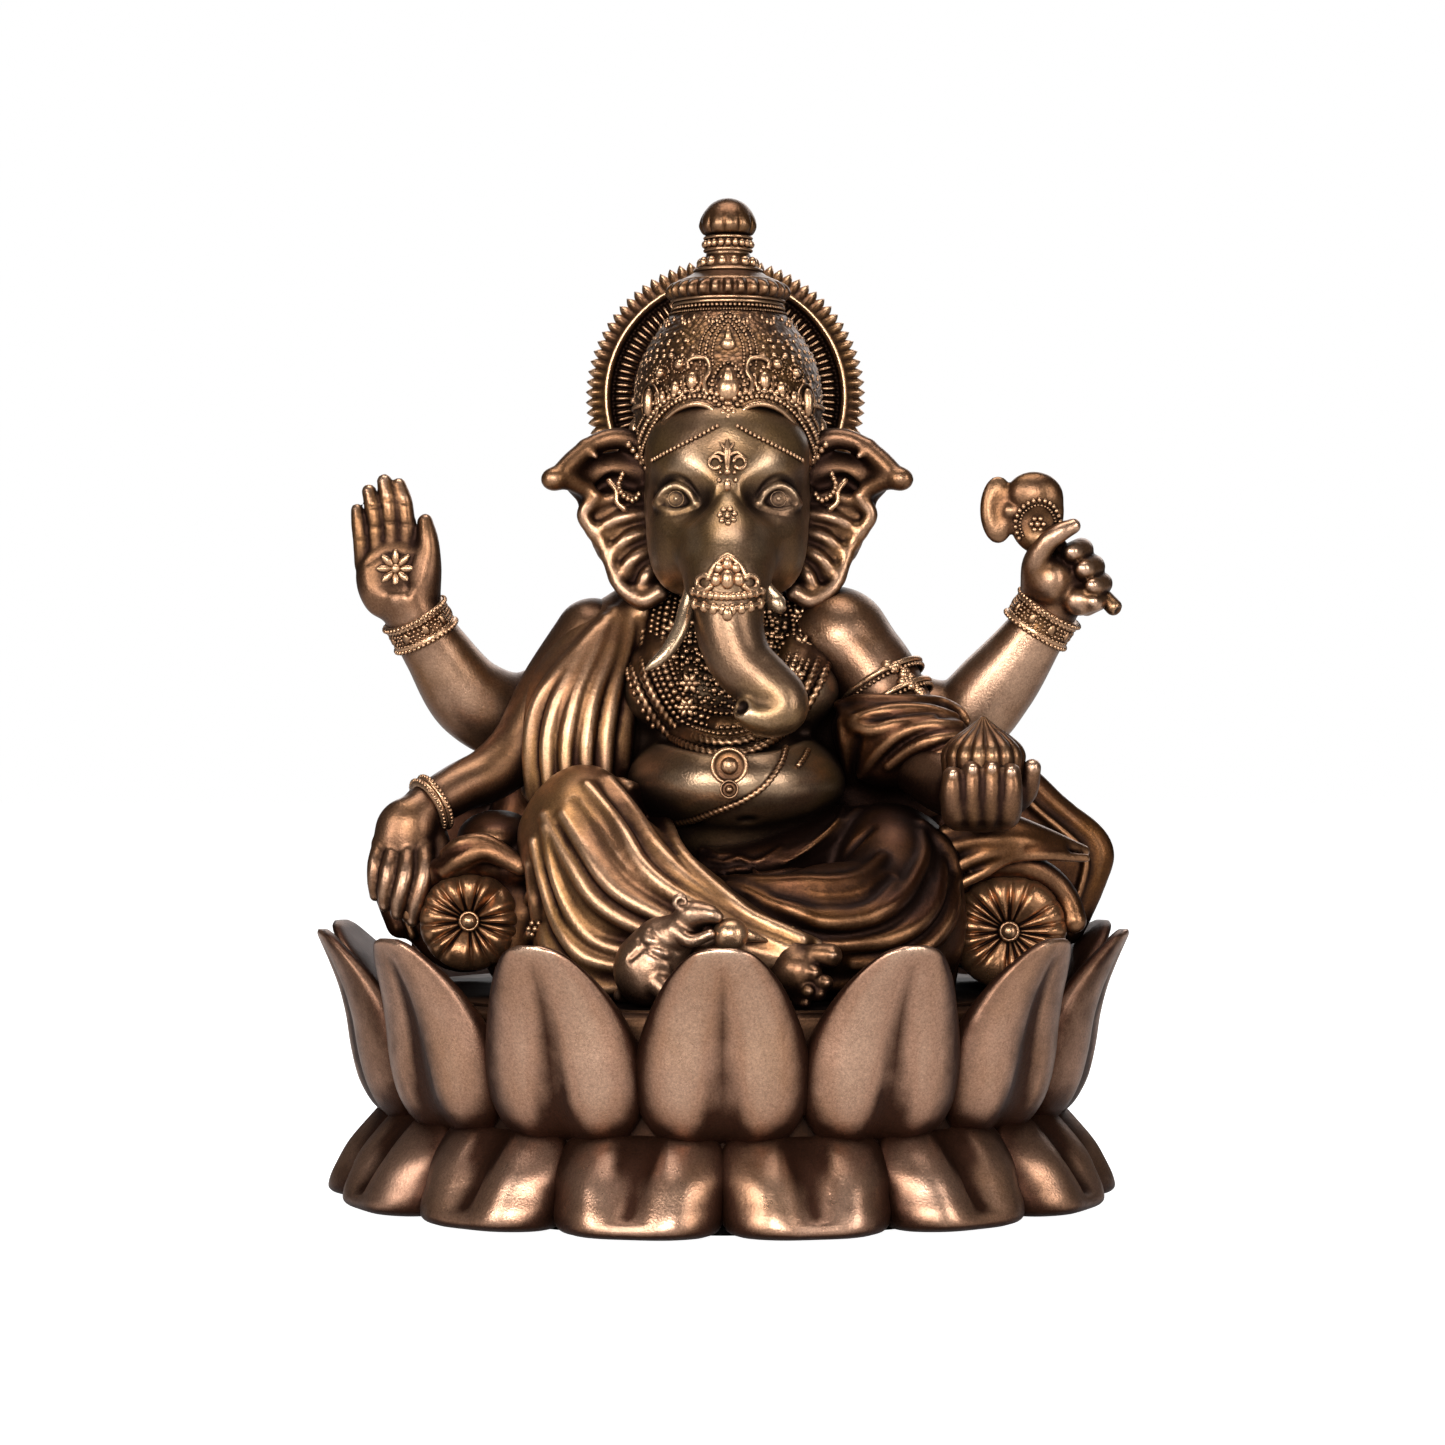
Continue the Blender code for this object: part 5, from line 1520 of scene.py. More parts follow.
def build_raised_hand(skin, trim_metal):
    clay = Clay((-62, -14, 70), (-16, 14, 119), 0.36)
    clay.tube(
        [
            (-20, 4, 84), (-32, 4.4, 78), (-40.6, 1.4, 80.6), (-46.4, -2.0, 88.4), (-49.4, -4.0, 93.6),
            (-51.0, -4.6, 97.0)], [7.4, 7.4, 6.8, 5.4, 4.9, 4.9], soft=2, per_span=20)
    clay.blob((-52.7, -4.6, 101.0), (6.6, 3.4, 6.8), soft=2)
    clay.blob((-49.4, -5.6, 100.0), (3.0, 2.8, 5.0), turn=(0, 12, 0), soft=1.5)
    clay.blob((-55.6, -5.4, 99.4), (3.0, 2.5, 5.0), soft=1.5)
    clay.blob((-52.9, -9.0, 101.8), (3.2, 1.2, 2.8), soft=2.4, cut=True)
    fingers = [
        [(-51.1, -5.0, 105.0), (-51.2, -5.4, 109.0), (-51.6, -5.4, 112.6), (-52.4, -5.0, 115.4)],
        [(-53.4, -5.0, 105.0), (-53.7, -5.5, 109.4), (-54.1, -5.6, 113.0), (-54.7, -5.2, 116.0)],
        [(-56.0, -4.9, 104.6), (-56.1, -5.4, 108.6), (-56.5, -5.5, 111.8), (-57.2, -5.1, 114.4)],
        [(-58.2, -4.6, 102.6), (-58.5, -5.2, 106.4), (-58.8, -5.3, 109.2), (-59.1, -5.0, 111.4)],
    ]
    for finger, size in zip(fingers, (1.5, 1.52, 1.46, 1.3)):
        clay.tube(finger, [size * 1.08, size, size * 0.98, size * 0.8], soft=0.35)
        for share in (0.36, 0.68):
            at = spline(finger, 10)[int(share * 30)]
            clay.tube(
                [at + vec(-1.3, -1.25, 0), at + vec(0, -1.5, -0.1), at + vec(1.3, -1.25, 0)], 0.22, soft=0.35,
                cut=True, per_span=3)
    clay.tube(
        [(-48.6, -5.4, 98.6), (-47.6, -6.0, 103.0), (-47.6, -6.2, 106.6), (-48.0, -6.0, 109.6)],
        [2.7, 2.1, 1.7, 1.15], soft=1.2)
    for line in (
        [(-57.4, 102.6), (-54.6, 104.0), (-51.6, 103.8)], [(-50.0, 104.0), (-50.9, 101.0), (-50.4, 97.6)]):
        clay.tube(clay.fronts(line, 0.15, 4), 0.22, soft=0.5, cut=True, per_span=1)
    # painted light on the forearm and painted shade on the palm, lighter again towards the fingertips
    piece(
        "rear_right_arm_and_hand", "skin_bronze", skin, ["rear_right_arm"], clay, rounds=20, patina_and_painted_light=lambda x,
        y, z: 0.04 - 0.26 * np.clip((z - 93) / 6, 0, 1) + 0.12 * np.clip((z - 110) / 4, 0, 1))
    mark = Trim()
    at = clay.front(-52.7, 101.8, 0.15)
    for i in range(8):
        a = math.pi * i / 4
        path = [at + vec(r * math.cos(a), 0.1 - 0.1 * r, r * math.sin(a)) for r in (0.7, 1.5, 2.3, 2.9)]
        mark.pipe(path, [0.3, 0.62, 0.6, 0.3], sides=8, squash=0.7)
    mark.bead(at + vec(0, -0.2, 0), (0.8, 0.5, 0.8))
    piece("palm_rosette", "trim_bronze", trim_metal, [], mark, rounds=8)
    band = bangle((-49.0, -3.8, 92.8), (-0.45, -0.28, 0.86), 5.35, 4.6, beads=20)
    piece("rear_right_bangle", "trim_bronze", trim_metal, ["rear_right_bracelet"], band, rounds=8)


def build_axe_hand(skin, trim_metal):
    clay = Clay((14, -16, 66), (66, 14, 113), 0.36)
    clay.tube(
        [
            (20, 4, 84), (31, 4.2, 77.6), (39.0, 2.4, 77.4), (44.8, 0.2, 83.2), (50.2, -2.6, 90.6),
            (52.8, -3.6, 95.0)], [7.4, 7.4, 7.0, 6.4, 5.0, 4.6], soft=2, per_span=20)
    clay.blob((55.4, -4.4, 100.2), (5.2, 4.8, 6.0), turn=(0, 22, 0), soft=1.8)
    clay.blob((52.4, -6.6, 100.0), (3.0, 2.8, 3.6), soft=1.0)
    clay.blob((57.8, -6.4, 97.0), (2.6, 2.8, 2.6), soft=0.9)
    knuckles = [(57.5, 104.8, 2.0), (59.3, 102.1, 2.05), (60.7, 99.4, 1.85), (60.9, 96.8, 1.5)]
    for x, z, r in knuckles:
        clay.tube(
            [(x - 1.6, -1.4, z - 1.0), (x + 0.4, -3.6, z), (x + 0.3, -6.8, z), (x - 1.0, -8.9, z - 0.5)],
            [r, r, r, r * 0.95], soft=0.3)
        clay.blob((x - 1.4, -9.6 - 0.3 * r, z - 0.4), (r * 0.6, r * 0.5, r * 0.6), soft=0.4)
    clay.tube(
        [
            (51.0, -6.0, 99.0), (50.4, -8.8, 102.6), (51.8, -10.4, 105.6), (54.0, -11.0, 107.4),
            (56.2, -10.8, 108.5)], [2.9, 2.2, 1.8, 1.6, 1.25], soft=0.7)
    clay.blob((52.8, -8.0, 100.0), (3.2, 2.8, 3.6), soft=1.2)
    clay.blob((57.6, -8.2, 96.6), (2.8, 2.2, 2.4), soft=0.8)
    # a painted highlight on the forearm that fades out towards the fist
    piece("rear_left_arm_and_fist", "skin_bronze", skin, ["rear_left_arm"], clay, rounds=20,
          patina_and_painted_light=lambda x, y, z: 0.12 - 0.16 * np.clip((z - 92) / 6, 0, 1))
    band = bangle((51.9, -3.2, 93.8), (0.52, -0.22, 0.82), 5.5, 4.8, beads=20)
    piece("rear_left_bangle", "trim_bronze", trim_metal, ["rear_left_bracelet"], band, rounds=8)


def build_axe(trim_metal):
    axe = Clay((38, -16, 92), (67, -2, 120), 0.3)
    axe.tube(
        [(63.0, -7.8, 95.6), (60.4, -6.2, 98.6), (56.4, -5.6, 103.0), (52.6, -7.4, 107.4)],
        [1.4, 1.3, 1.3, 1.5], soft=0.4)
    axe.blob((64.0, -8.6, 94.7), (0.9, 0.9, 0.9), soft=0.3, cut=True)
    axe.blob((50.5, -9.0, 110.6), (4.4, 1.5, 6.2), turn=(0, 6, 0), soft=0.6)
    axe.blob((50.2, -9.2, 113.6), (4.5, 2.5, 3.7), turn=(0, 6, 0), soft=0.6)
    axe.blob((51.2, -9.2, 106.6), (3.0, 2.0, 2.4), soft=0.8)
    axe.blob((44.3, -9.0, 111.2), (2.9, 1.2, 5.4), soft=0.6)
    axe.blob((44.3, -10.6, 111.2), (1.9, 0.8, 4.2), soft=0.4, cut=True)
    axe.tube([(46.2, -9.2, 111), (48, -9.2, 111)], 1.4, soft=0.5)
    trims = Trim()
    arch = [
        (47.6, 106.6), (47.0, 108.8), (47.8, 111.2), (50.3, 112.6), (52.9, 111.8), (54.2, 109.4),
        (54.2, 107.4)]
    for grow, size in ((1.0, 0.44), (0.8, 0.26)):
        line = [(50.5 + (a - 50.5) * grow, 108.6 + (b - 108.6) * grow) for a, b in arch]
        trims.beads(axe.fronts(line, 0.15), size, size * 2.1)
    at = axe.front(50.5, 108.8, 0.05)
    trims.rosette(at)
    piece("axe_head_and_handle", "trim_bronze", trim_metal, ["axe"], axe, trims, rounds=10)


def build_resting_hand(skin, trim_metal):
    clay = Clay((-60, -28, 40), (-18, 6, 98), 0.36)
    clay.tube(
        [
            (-21, -4, 91), (-27, -5.4, 82), (-32, -6.6, 73.6), (-37, -9.0, 69.0), (-42, -11.8, 66.6),
            (-47.4, -15, 63.4)], [6.2, 6.0, 5.2, 4.5, 4.0, 3.7], soft=2, per_span=16)
    clay.blob((-50.2, -17.4, 60.0), (4.8, 3.4, 5.2), turn=(0, 30, 0), soft=1.5)
    clay.blob((-50.8, -18.0, 57.4), (4.5, 2.6, 3.6), soft=1.2)
    fingers = [
        [(-47.4, -18.6, 57.2), (-47.0, -21.4, 53.4), (-48.2, -21.9, 48.8), (-48.9, -20.8, 45.9)],
        [(-49.8, -19.2, 56.8), (-49.9, -22.0, 53.2), (-50.8, -22.3, 49.4), (-51.2, -21.3, 47.0)],
        [(-52.1, -18.8, 57.0), (-52.6, -21.4, 53.8), (-53.0, -21.6, 50.6), (-53.2, -20.8, 48.2)],
        [(-54.1, -17.9, 57.8), (-54.8, -20.2, 54.9), (-54.9, -20.4, 52.0), (-54.8, -19.8, 49.7)],
    ]
    for finger, size in zip(fingers, (1.5, 1.5, 1.42, 1.25)):
        clay.tube(finger, [size * 1.1, size, size * 0.95, size * 0.78], soft=0.35)
        clay.blob(finger[0], (size * 1.15, size * 1.1, size * 1.1), soft=0.5)
        clay.blob(
            spline(finger, 4)[-1] + vec(0, -size * 0.65, 0.2), (size * 0.5, size * 0.3, size * 0.6), soft=0.2)
    clay.tube(
        [(-46.8, -14.6, 60.4), (-44.8, -16.8, 55.6), (-44.5, -18.8, 50.4), (-45.9, -19.8, 45.4)],
        [2.6, 2.1, 1.8, 1.5], soft=0.8)
    # painted shade over the arm and hand
    piece("front_right_arm_and_hand", "skin_bronze", skin, ["front_right_arm"], clay, rounds=20, patina_and_painted_light=-0.10)
    band = bangle((-46.4, -14.4, 64.0), (-0.80, -0.44, -0.46), 4.5, 2.0, beads=20, panels=0)
    piece("front_right_bangle", "trim_bronze", trim_metal, ["front_right_bracelet"], band, rounds=8)


def build_sweet_hand(skin, trim_metal):
    clay = Clay((10, -42, 57), (52, 6, 104), 0.38)
    clay.blob((18.0, -6, 91.0), (8.4, 7.6, 8.0), soft=2)
    clay.tube(
        [
            (19.4, -6.4, 89.8), (23.8, -7.6, 84.8), (27.2, -9.4, 79.2), (30.6, -13.4, 73.0),
            (34.6, -20.6, 68.6), (38.0, -26.4, 66.0)], [7.6, 7.3, 6.6, 6.2, 5.6, 4.8], soft=2, per_span=16)
    clay.blob((40.0, -31.8, 65.4), (6.4, 6.0, 5.4), soft=1.5)
    for x, top in ((35.6, 69.8), (38.4, 70.7), (41.2, 70.9), (44.0, 70.3)):
        lean = (x - 40) * 0.06
        clay.tube(
            [
                (x * 0.8 + 8, -33.0, 62.6), (x * 0.95 + 2, -35.4, 63.2), (x + lean, -36.6, 66.4),
                (x + lean, -36.7, top - 1.1)], [2.4, 2.2, 1.85, 1.6], soft=0.5)
        clay.blob((x + lean, -38.2, top - 0.9), (0.8, 0.35, 0.9), soft=0.2)
    clay.tube([(44.6, -29.6, 64.2), (47.0, -31.4, 66.4), (47.9, -32.4, 70.0)], [2.2, 1.8, 1.4], soft=0.7)
    # painted shade on the lower forearm, deepest on the hand
    piece("front_left_arm_and_hand", "skin_bronze", skin, ["front_left_arm"], clay, rounds=20,
          patina_and_painted_light=lambda x, y, z: -0.30 * np.clip((78 - z) / 6, 0, 1) * np.clip((70.6 - z) / 3, 0.3, 1))
    clusters = Trim()
    # armlet: two bands round the upper arm with a jewelled crest
    for centre, reach in (((25.4, -8.0, 83.4), 7.3), ((27.2, -8.9, 80.4), 6.9)):
        axis = unit(vec(3.4, -1.6, -6.0))
        side, rise = ring_frame(axis)
        ring = ellipse(centre, reach * side, reach * rise, 61)
        clusters.pipe(ring, 0.5, sides=8, up=tuple(axis))
        clusters.beads([p + axis * 0.9 for p in ring], 0.38, 0.85)
    draw = np.random.default_rng(3)
    for i in range(26):
        share = i / 25
        x, z = 27.0 + 4.6 * share + draw.uniform(-1.0, 1.0), 86.8 - 5.8 * share + draw.uniform(-1.2, 1.2)
        clusters.bead(clay.front(x, z, 0.3), draw.uniform(0.45, 0.95))
    piece("armlet_of_jewels", "trim_bronze", trim_metal, ["left_armlet"], clusters, rounds=8)


def build_modak(trim_metal):
    sweet = Trim()
    profile = [
        (63.6, 3.0), (65.0, 5.2), (68.0, 6.2), (71.0, 6.6), (72.2, 6.6), (73.6, 5.9), (75.0, 4.3),
        (76.2, 2.5), (77.2, 1.2), (78.0, 0.3)]

    def pleat(a, z):
        rise = np.clip((z - 68) / 7, 0, 1)
        return 1 - (0.03 + 0.09 * rise) * (1 - abs(math.sin(8 * a)) ** 0.6)

    sweet.loft(lathe(40.4, -31, spline(profile, 4), 128, pleat))
    piece("modak_sweet", "trim_bronze", trim_metal, ["modak"], sweet, rounds=8)


def build_shoulder_shawl(cloth):
    clay = Clay((-37, -26, 60), (-8, 12, 105), 0.4)
    clay.tube(
        [(-14.5, -2.6, 94.5), (-19.0, -5.0, 88.5), (-22.4, -7.4, 81), (-23.4, -8.6, 73), (-23.2, -9.6, 66.4)],
        [5.0, 7.2, 9.0, 9.2, 8.2], soft=3)
    clay.blob((-24.4, -2.0, 79), (8.2, 9.4, 10.5), soft=3)
    clay.blob((-12.6, -5, 97.0), (3.0, 4.6, 2.6), soft=2)
    lines = [
        [(-20.4, 91.6), (-25.0, 86), (-29.4, 80), (-30.8, 73), (-30.6, 65)],
        [(-18.8, 93.4), (-22.6, 87), (-26.4, 80), (-27.9, 73), (-27.4, 65)],
        [(-17.2, 94.8), (-20.2, 88), (-23.2, 81), (-24.8, 73), (-24.4, 65)],
        [(-15.6, 95.8), (-17.8, 88), (-20.4, 81), (-21.6, 73), (-21.4, 66)],
        [(-14.0, 96.2), (-15.6, 88), (-17.4, 81), (-18.4, 74), (-18.4, 67)],
        [(-12.6, 95.6), (-13.5, 89), (-14.6, 82), (-15.3, 76), (-15.6, 70)],
    ]
    between = [
        [((p[0] + q[0]) / 2, (p[1] + q[1]) / 2) for p, q in zip(a, b)] for a, b in zip(lines, lines[1:])]
    drape(clay, lines, between, radius=1.3, groove_radius=0.95, soft=1.2, sink=0.3)
    for i in range(5):
        # the same cloth over the shoulder, the upper arm and the back
        z = 93 - 6.0 * i
        out = -21.0 - 3.2 * i if i < 3 else -31.4
        clay.tube(
            [(out + 3, -8 - i, z - 5), (out, -2, z - 3), (out + 2, 5, z - 2), (out + 9, 8.6, z)],
            [0.9, 1.4, 1.5, 1.0], soft=1.2)
    for top, out in ((93.6, -19.0), (88.8, -23.4), (83.6, -27.8)):
        clay.tube(
            [(out + 6, -9, top + 1.0), (out + 1.6, -6, top), (out, -2, top - 1.6), (out + 1, 3, top - 2)],
            [0.8, 1.3, 1.3, 0.9], soft=1.4)
    piece("right_shoulder_drape", "cloth_bronze", cloth, ["right_shoulder_shawl"], clay, rounds=16)


def build_arm_shawl(cloth):
    clay = Clay((13, -34, 55), (44, 4, 86), 0.4)
    clay.blob((28.0, -13.6, 75.0), (9.6, 9, 6.4))
    clay.blob((34.2, -19.0, 73.6), (5.4, 5.8, 5.0), soft=2)
    clay.blob((22.4, -15.0, 76.0), (4.8, 5.6, 4.6), soft=2)
    clay.blob((27.0, -14.5, 71.0), (7.4, 6.0, 4.6), soft=2.5)
    clay.blob((22.4, -6.0, 67.0), (8.8, 7.0, 9.4), soft=3)
    clay.blob((31.0, -6.0, 64.0), (7.0, 5.0, 7.0), soft=3)
    grooves = [
        [(36.4, 77.4), (31.0, 77.8), (26.0, 77.8), (20.4, 78.6)],
        [(36.6, 75.6), (32.0, 75.4), (27.6, 73.4), (24.0, 69.4)], [(37.4, 74.0), (34.0, 73.2), (30.4, 71.6)],
        [(21.6, 75.8), (20.6, 72.0), (20.8, 68.0)],
    ]
    folds = [
        [(18.4, 79.8), (22, 80.6), (29.4, 80.4), (34.2, 80.2), (37.3, 78.9), (38.7, 77.2)],
        [(37.4, 76.6), (32.6, 76.6), (28.0, 75.2), (24.6, 72.4), (22.0, 68.6)],
        [(18.6, 79.6), (20.6, 76.8), (23.6, 75.8), (27.6, 76.8), (33.0, 77.6)],
        [(37.8, 75.0), (33.6, 74.4), (29.6, 72.8), (26.2, 70.2)],
        [(38.0, 73.4), (35.0, 72.4), (32.0, 70.8)],
        [(21.0, 77.8), (26.6, 79.0), (32.0, 79.0), (36.6, 78.0)],
        [(18.8, 77.0), (19.6, 73.0), (20.2, 68.0)],
    ]
    drape(clay, folds, grooves, radius=1.1, groove_radius=0.8, soft=0.8, sink=0.3)
    for y, z in ((-8, 79), (-4, 76), (-6, 71)):
        clay.tube(
            [(34, y - 6, z - 1), (36.5, y - 1, z - 3), (32, y + 4, z - 1), (26, y + 5, z)],
            [0.9, 1.2, 1.2, 0.8], soft=1.0)
    piece("left_forearm_drape", "cloth_bronze", cloth, ["left_arm_shawl"], clay, rounds=16)


def build_bolster(name, side, x, z, radius, cloth, trim_metal):
    """A roll with pleats that run to a button at its front end."""
    roll = Trim()
    pleats = 17 if side > 0 else 15
    turn = np.linspace(0, 2 * math.pi, 180, endpoint=False)
    wander = turn + 0.16 * np.sin(2 * turn + 1) + 0.07 * np.sin(5 * turn) + 0.03 * np.sin(9 * turn + 2)
    pillow = np.abs(np.sin(wander * pleats / 2)) ** 0.45
    front, back = -24.0, 7.5
    rows = [
        (0.08, front + 1.6, 0.0), (0.18, front + 1.5, 0.6), (0.42, front + 1.1, 1.5),
        (0.66, front + 0.8, 1.7), (0.86, front + 1.2, 1.3), (0.97, front + 2.0, 0.6),
        (1.0, front + 3.4, 0.2), (0.965, front + 5.0, 0.0), (0.99, front + 7.5, 0.0),
        (1.0, front + 15, 0.0), (0.99, back - 5, 0.0), (0.97, back - 3, 0.0), (0.99, back - 1.6, 0.2),
        (0.86, back, 0.6), (0.5, back + 0.6, 0.8), (0.1, back, 0.0)]
    roll.loft([
        np.column_stack([x + radius * s * (1 - 0.02 * (1 - pillow) * (bulge > 0)) * np.cos(turn),
                         y + (-bulge if y < -10 else bulge) * pillow,
                         z + radius * s * (1 - 0.02 * (1 - pillow) * (bulge > 0)) * np.sin(turn)])
        for s, y, bulge in rows])
    piece(
        f"{name}_bolster_roll", "cloth_bronze", cloth, [f"{name}_bolster"], roll, rounds=10, patina_and_painted_light=-0.07)
    button = Trim()
    button.bead((x, front + 0.2, z), (1.2, 0.9, 1.2), rings=10, sides=18)
    button.pipe(ellipse((x, front + 0.5, z), vec(1.35, 0, 0), vec(0, 0, 1.35), 33), 0.32, sides=8)
    piece(f"{name}_bolster_boss", "trim_bronze", trim_metal, [f"{name}_bolster_button"], button, rounds=8)


def build_flap(name, side, x, z, radius, cloth):
    """The cover that falls over the bolster."""
    flap = Clay((x - 17, -30, 33), (x + 17, 12, 64), 0.42)
    for i, y in enumerate(np.linspace(-21, 5, 9)):
        arc = [
            (
                x + (radius + 1.2) * math.cos(a), y + 1.4 * math.sin(3 * a),
                z + (radius + 1.2) * math.sin(a)) for a in np.linspace(0.15, math.pi - 0.15, 13)]
        flap.tube(arc, 1.75 if i % 2 else 2.1, soft=1.0, per_span=2)
    inner_x = x - side * 8
    flap.tube(
        [(inner_x, -22, z + 8), (inner_x - side * 1.5, -16, z + 10.5), (inner_x - side * 2, -4, z + 10)],
        [2.2, 2.6, 2.6], soft=1.5)
    if side > 0:
        top = [
            (35.2, -24, 59.6), (40, -24.4, 60.6), (44, -24.2, 60.8), (50, -22, 59.0), (57.2, -18, 56.6)]
        edge = [
            (57.4, -20, 55.6), (49.2, -24.6, 56.2), (44.4, -25.4, 55.6), (40.5, -25.8, 53.4),
            (36.3, -26.0, 51.4)]
        flap.tube(top, [1.6, 2.2, 2.2, 1.8, 1.0], soft=1.0)
        flap.tube(edge, [0.7, 0.9, 0.95, 0.95, 0.9], soft=0.5)
        flap.blob((34.6, -5, 57.6), (6.0, 8.0, 6.0), soft=2)
        flap.tube(
            [(36, -25, 57.6), (41.5, -25.4, 58.6), (47, -24.4, 58.2), (53, -21.4, 57.0)],
            [1.4, 1.9, 1.8, 1.2], soft=0.9)
        flap.tube([(37, -25.6, 54.6), (41.0, -25.8, 56.4), (46, -25.2, 57.2)], [1.2, 1.5, 1.2], soft=0.8)
    else:
        for dz, r in ((0.0, 1.7), (2.6, 1.2)):
            flap.tube(
                [
                    (-43.6, -23, 53.8 + dz), (-41.0, -24.4, 55.4 + dz), (-37, -25.0, 56.8 + dz * 0.6),
                    (-31.6, -25.4, 54.2 + dz * 0.5)], [r * 0.8, r, r, r * 0.7], soft=0.8)
        flap.blob((-36.0, -12, 58.6), (6.4, 10, 4.4), soft=1.5)
        flap.blob((-33.0, -18, 44.0), (5.4, 5.0, 9.6), soft=2)
    piece(f"{name}_bolster_flap", "cloth_bronze", cloth, [f"{name}_bolster_cover"], flap, rounds=14)


def build_backrest(name, side, cloth):
    """A thin cushion behind the bolster, with a rim and creases that fan out over its back."""
    rest = Clay((min(side * 28, side * 66) - 1, 5, 33), (max(side * 28, side * 66) + 1, 25, 72), 0.42)
    if side > 0:
        rim = [
            (44, 14, 68.6), (48, 14, 68.4), (51.4, 14, 67.0), (54.8, 14, 63.8), (58.9, 14, 60.4),
            (61.6, 14, 57.9), (62.8, 14, 55.5), (62.6, 14, 53.2), (61.4, 14, 49.2), (59.4, 14, 45.1),
            (57.6, 14, 42.0)]
        rest.blob((45, 15, 51), (15.6, 3.6, 16.0))
        rest.blob((34, 12, 58), (6.0, 4.6, 10.0), soft=2)
    else:
        rim = [
            (-40, 14, 66.0), (-46, 14, 64.6), (-51.0, 14, 61.8), (-54.6, 14, 58.4), (-56.4, 14, 55.4),
            (-56.6, 14, 52.0), (-55.8, 14, 48.0), (-54.0, 14, 43.0)]
        rest.blob((-43, 15, 50), (11.8, 3.6, 14.8))
        rest.blob((-33, 12, 58), (6.0, 4.6, 11.0), soft=2)
    for p in spline(rim, 2)[:, [0, 2]]:
        rest.tube([(side * 42, 15.4, 48), (p[0], 14.6, p[1])], [5.0, 2.0], soft=2.0, squash=(1, 0.6))
    rest.tube(rim, [1.2] * len(rim), soft=0.7)
    rest.tube([(p[0] - side * 2.4, 12.6, p[2] - 1.4) for p in rim], 0.7, soft=0.8)
    centre = (side * 46, 16, 54)
    for i in range(6):
        a = math.radians(20 + 28 * i)
        tip = (centre[0] + 11.0 * math.cos(a), 16.4, centre[2] + 10.0 * math.sin(a))
        rest.tube(
            [
                (centre[0], 16.8, centre[2] - 8),
                ((centre[0] + tip[0]) / 2, 17.4, (centre[2] + tip[2]) / 2), tip], [1.4, 1.3, 0.8],
            soft=3.0)
    rest.below(SEAT_TOP)
    piece(
        f"{name}_backrest_cushion", "cloth_bronze", cloth, [f"{name}_side_cushion"], rest, rounds=14,
        patina_and_painted_light=-0.08)


def build_seat(cloth, trim_metal):
    for name, side, x, z, radius in (("right", -1, -39.8, 45.8, 8.0), ("left", 1, 45.0, 44.2, 9.3)):
        build_bolster(name, side, x, z, radius, cloth, trim_metal)
        build_flap(name, side, x, z, radius, cloth)
        build_backrest(name, side, cloth)


def build_mouse(skin, trim_metal):
    clay = Clay((-17, -58, 32), (8, -40, 54), 0.28)
    clay.blob((-11.2, -46.8, 39.8), (5.3, 4.8, 5.8))
    clay.blob((-9.0, -47.6, 43.6), (4.4, 4.0, 4.2), soft=1.4)
    clay.blob((-6.2, -48.8, 45.6), (3.3, 3.0, 2.8), soft=1.2)
    clay.blob((-4.4, -49.8, 48.2), (2.8, 2.5, 2.1), soft=1.0)
    clay.tube([(-3.6, -50.6, 48.3), (-2.0, -51.5, 48.3), (-0.8, -51.9, 47.9)], [1.9, 1.5, 1.0], soft=0.8)
    for dy, dz in ((-1.6, 0.2), (1.0, 0.4)):
        clay.blob((-6.4, -49.4 + dy, 49.8 + dz), (1.2, 0.7, 1.2), soft=0.4)
        clay.blob((-6.2, -49.9 + dy, 49.8 + dz), (0.6, 0.4, 0.6), soft=0.3, cut=True)
    clay.tube([(-7.2, -50.4, 45.9), (-4.6, -52.0, 44.4), (-1.8, -52.6, 45.4)], [1.3, 1.05, 0.8], soft=0.5)
    clay.tube([(-7.0, -46.8, 45.2), (-3.6, -48.4, 43.8), (-0.8, -50.0, 44.6)], [1.3, 1.0, 0.7], soft=0.5)
    clay.tube([(-9.6, -50.2, 37.8), (-7.2, -51.8, 35.9), (-4.4, -52.4, 35.3)], [1.9, 1.5, 0.9], soft=0.6)
    clay.tube(
        [(-14.6, -44.6, 37.0), (-15.6, -44.0, 35.4), (-12.0, -42.6, 35.2), (-6.0, -43.0, 35.2)],
        [1.0, 0.8, 0.7, 0.5], soft=0.6)
    for a, b in ((-12.6, 45.8), (-11.0, 47.2)):
        clay.tube(
            clay.fronts([(a, b - 1.4), (a + 2.0, b - 3.4), (a + 4.6, b - 4.6)], 0.05, 4), 0.26, soft=0.6,
            cut=True, per_span=1)
    clay.tube(
        clay.fronts([(-13.8, 41.6), (-11.0, 43.6), (-8.0, 42.6), (-7.2, 39.4)], 0.05, 4), 0.3, soft=0.6,
        cut=True, per_span=1)
    clay.below(SEAT_TOP)
    eye = Trim()
    eye.bead((-3.6, -51.5, 49.2), 0.42)
    piece("mouse_body", "skin_bronze", skin, ["mouse"], clay, eye, rounds=14)
    sweet = Trim()
    sweet.bead((1.2, -51.4, 45.3), (2.7, 2.6, 2.5), rings=14, sides=22)
    sweet.pipe([(2.6, -50.4, 45.4), (4.8, -49.6, 44.8), (6.6, -49.0, 44.2)], [1.3, 0.8, 0.3], sides=10)
    piece("mouse_sweet_ball", "trim_bronze", trim_metal, ["mouse_sweet"], sweet, rounds=8)


# ---------------------------------------------------------------- stage


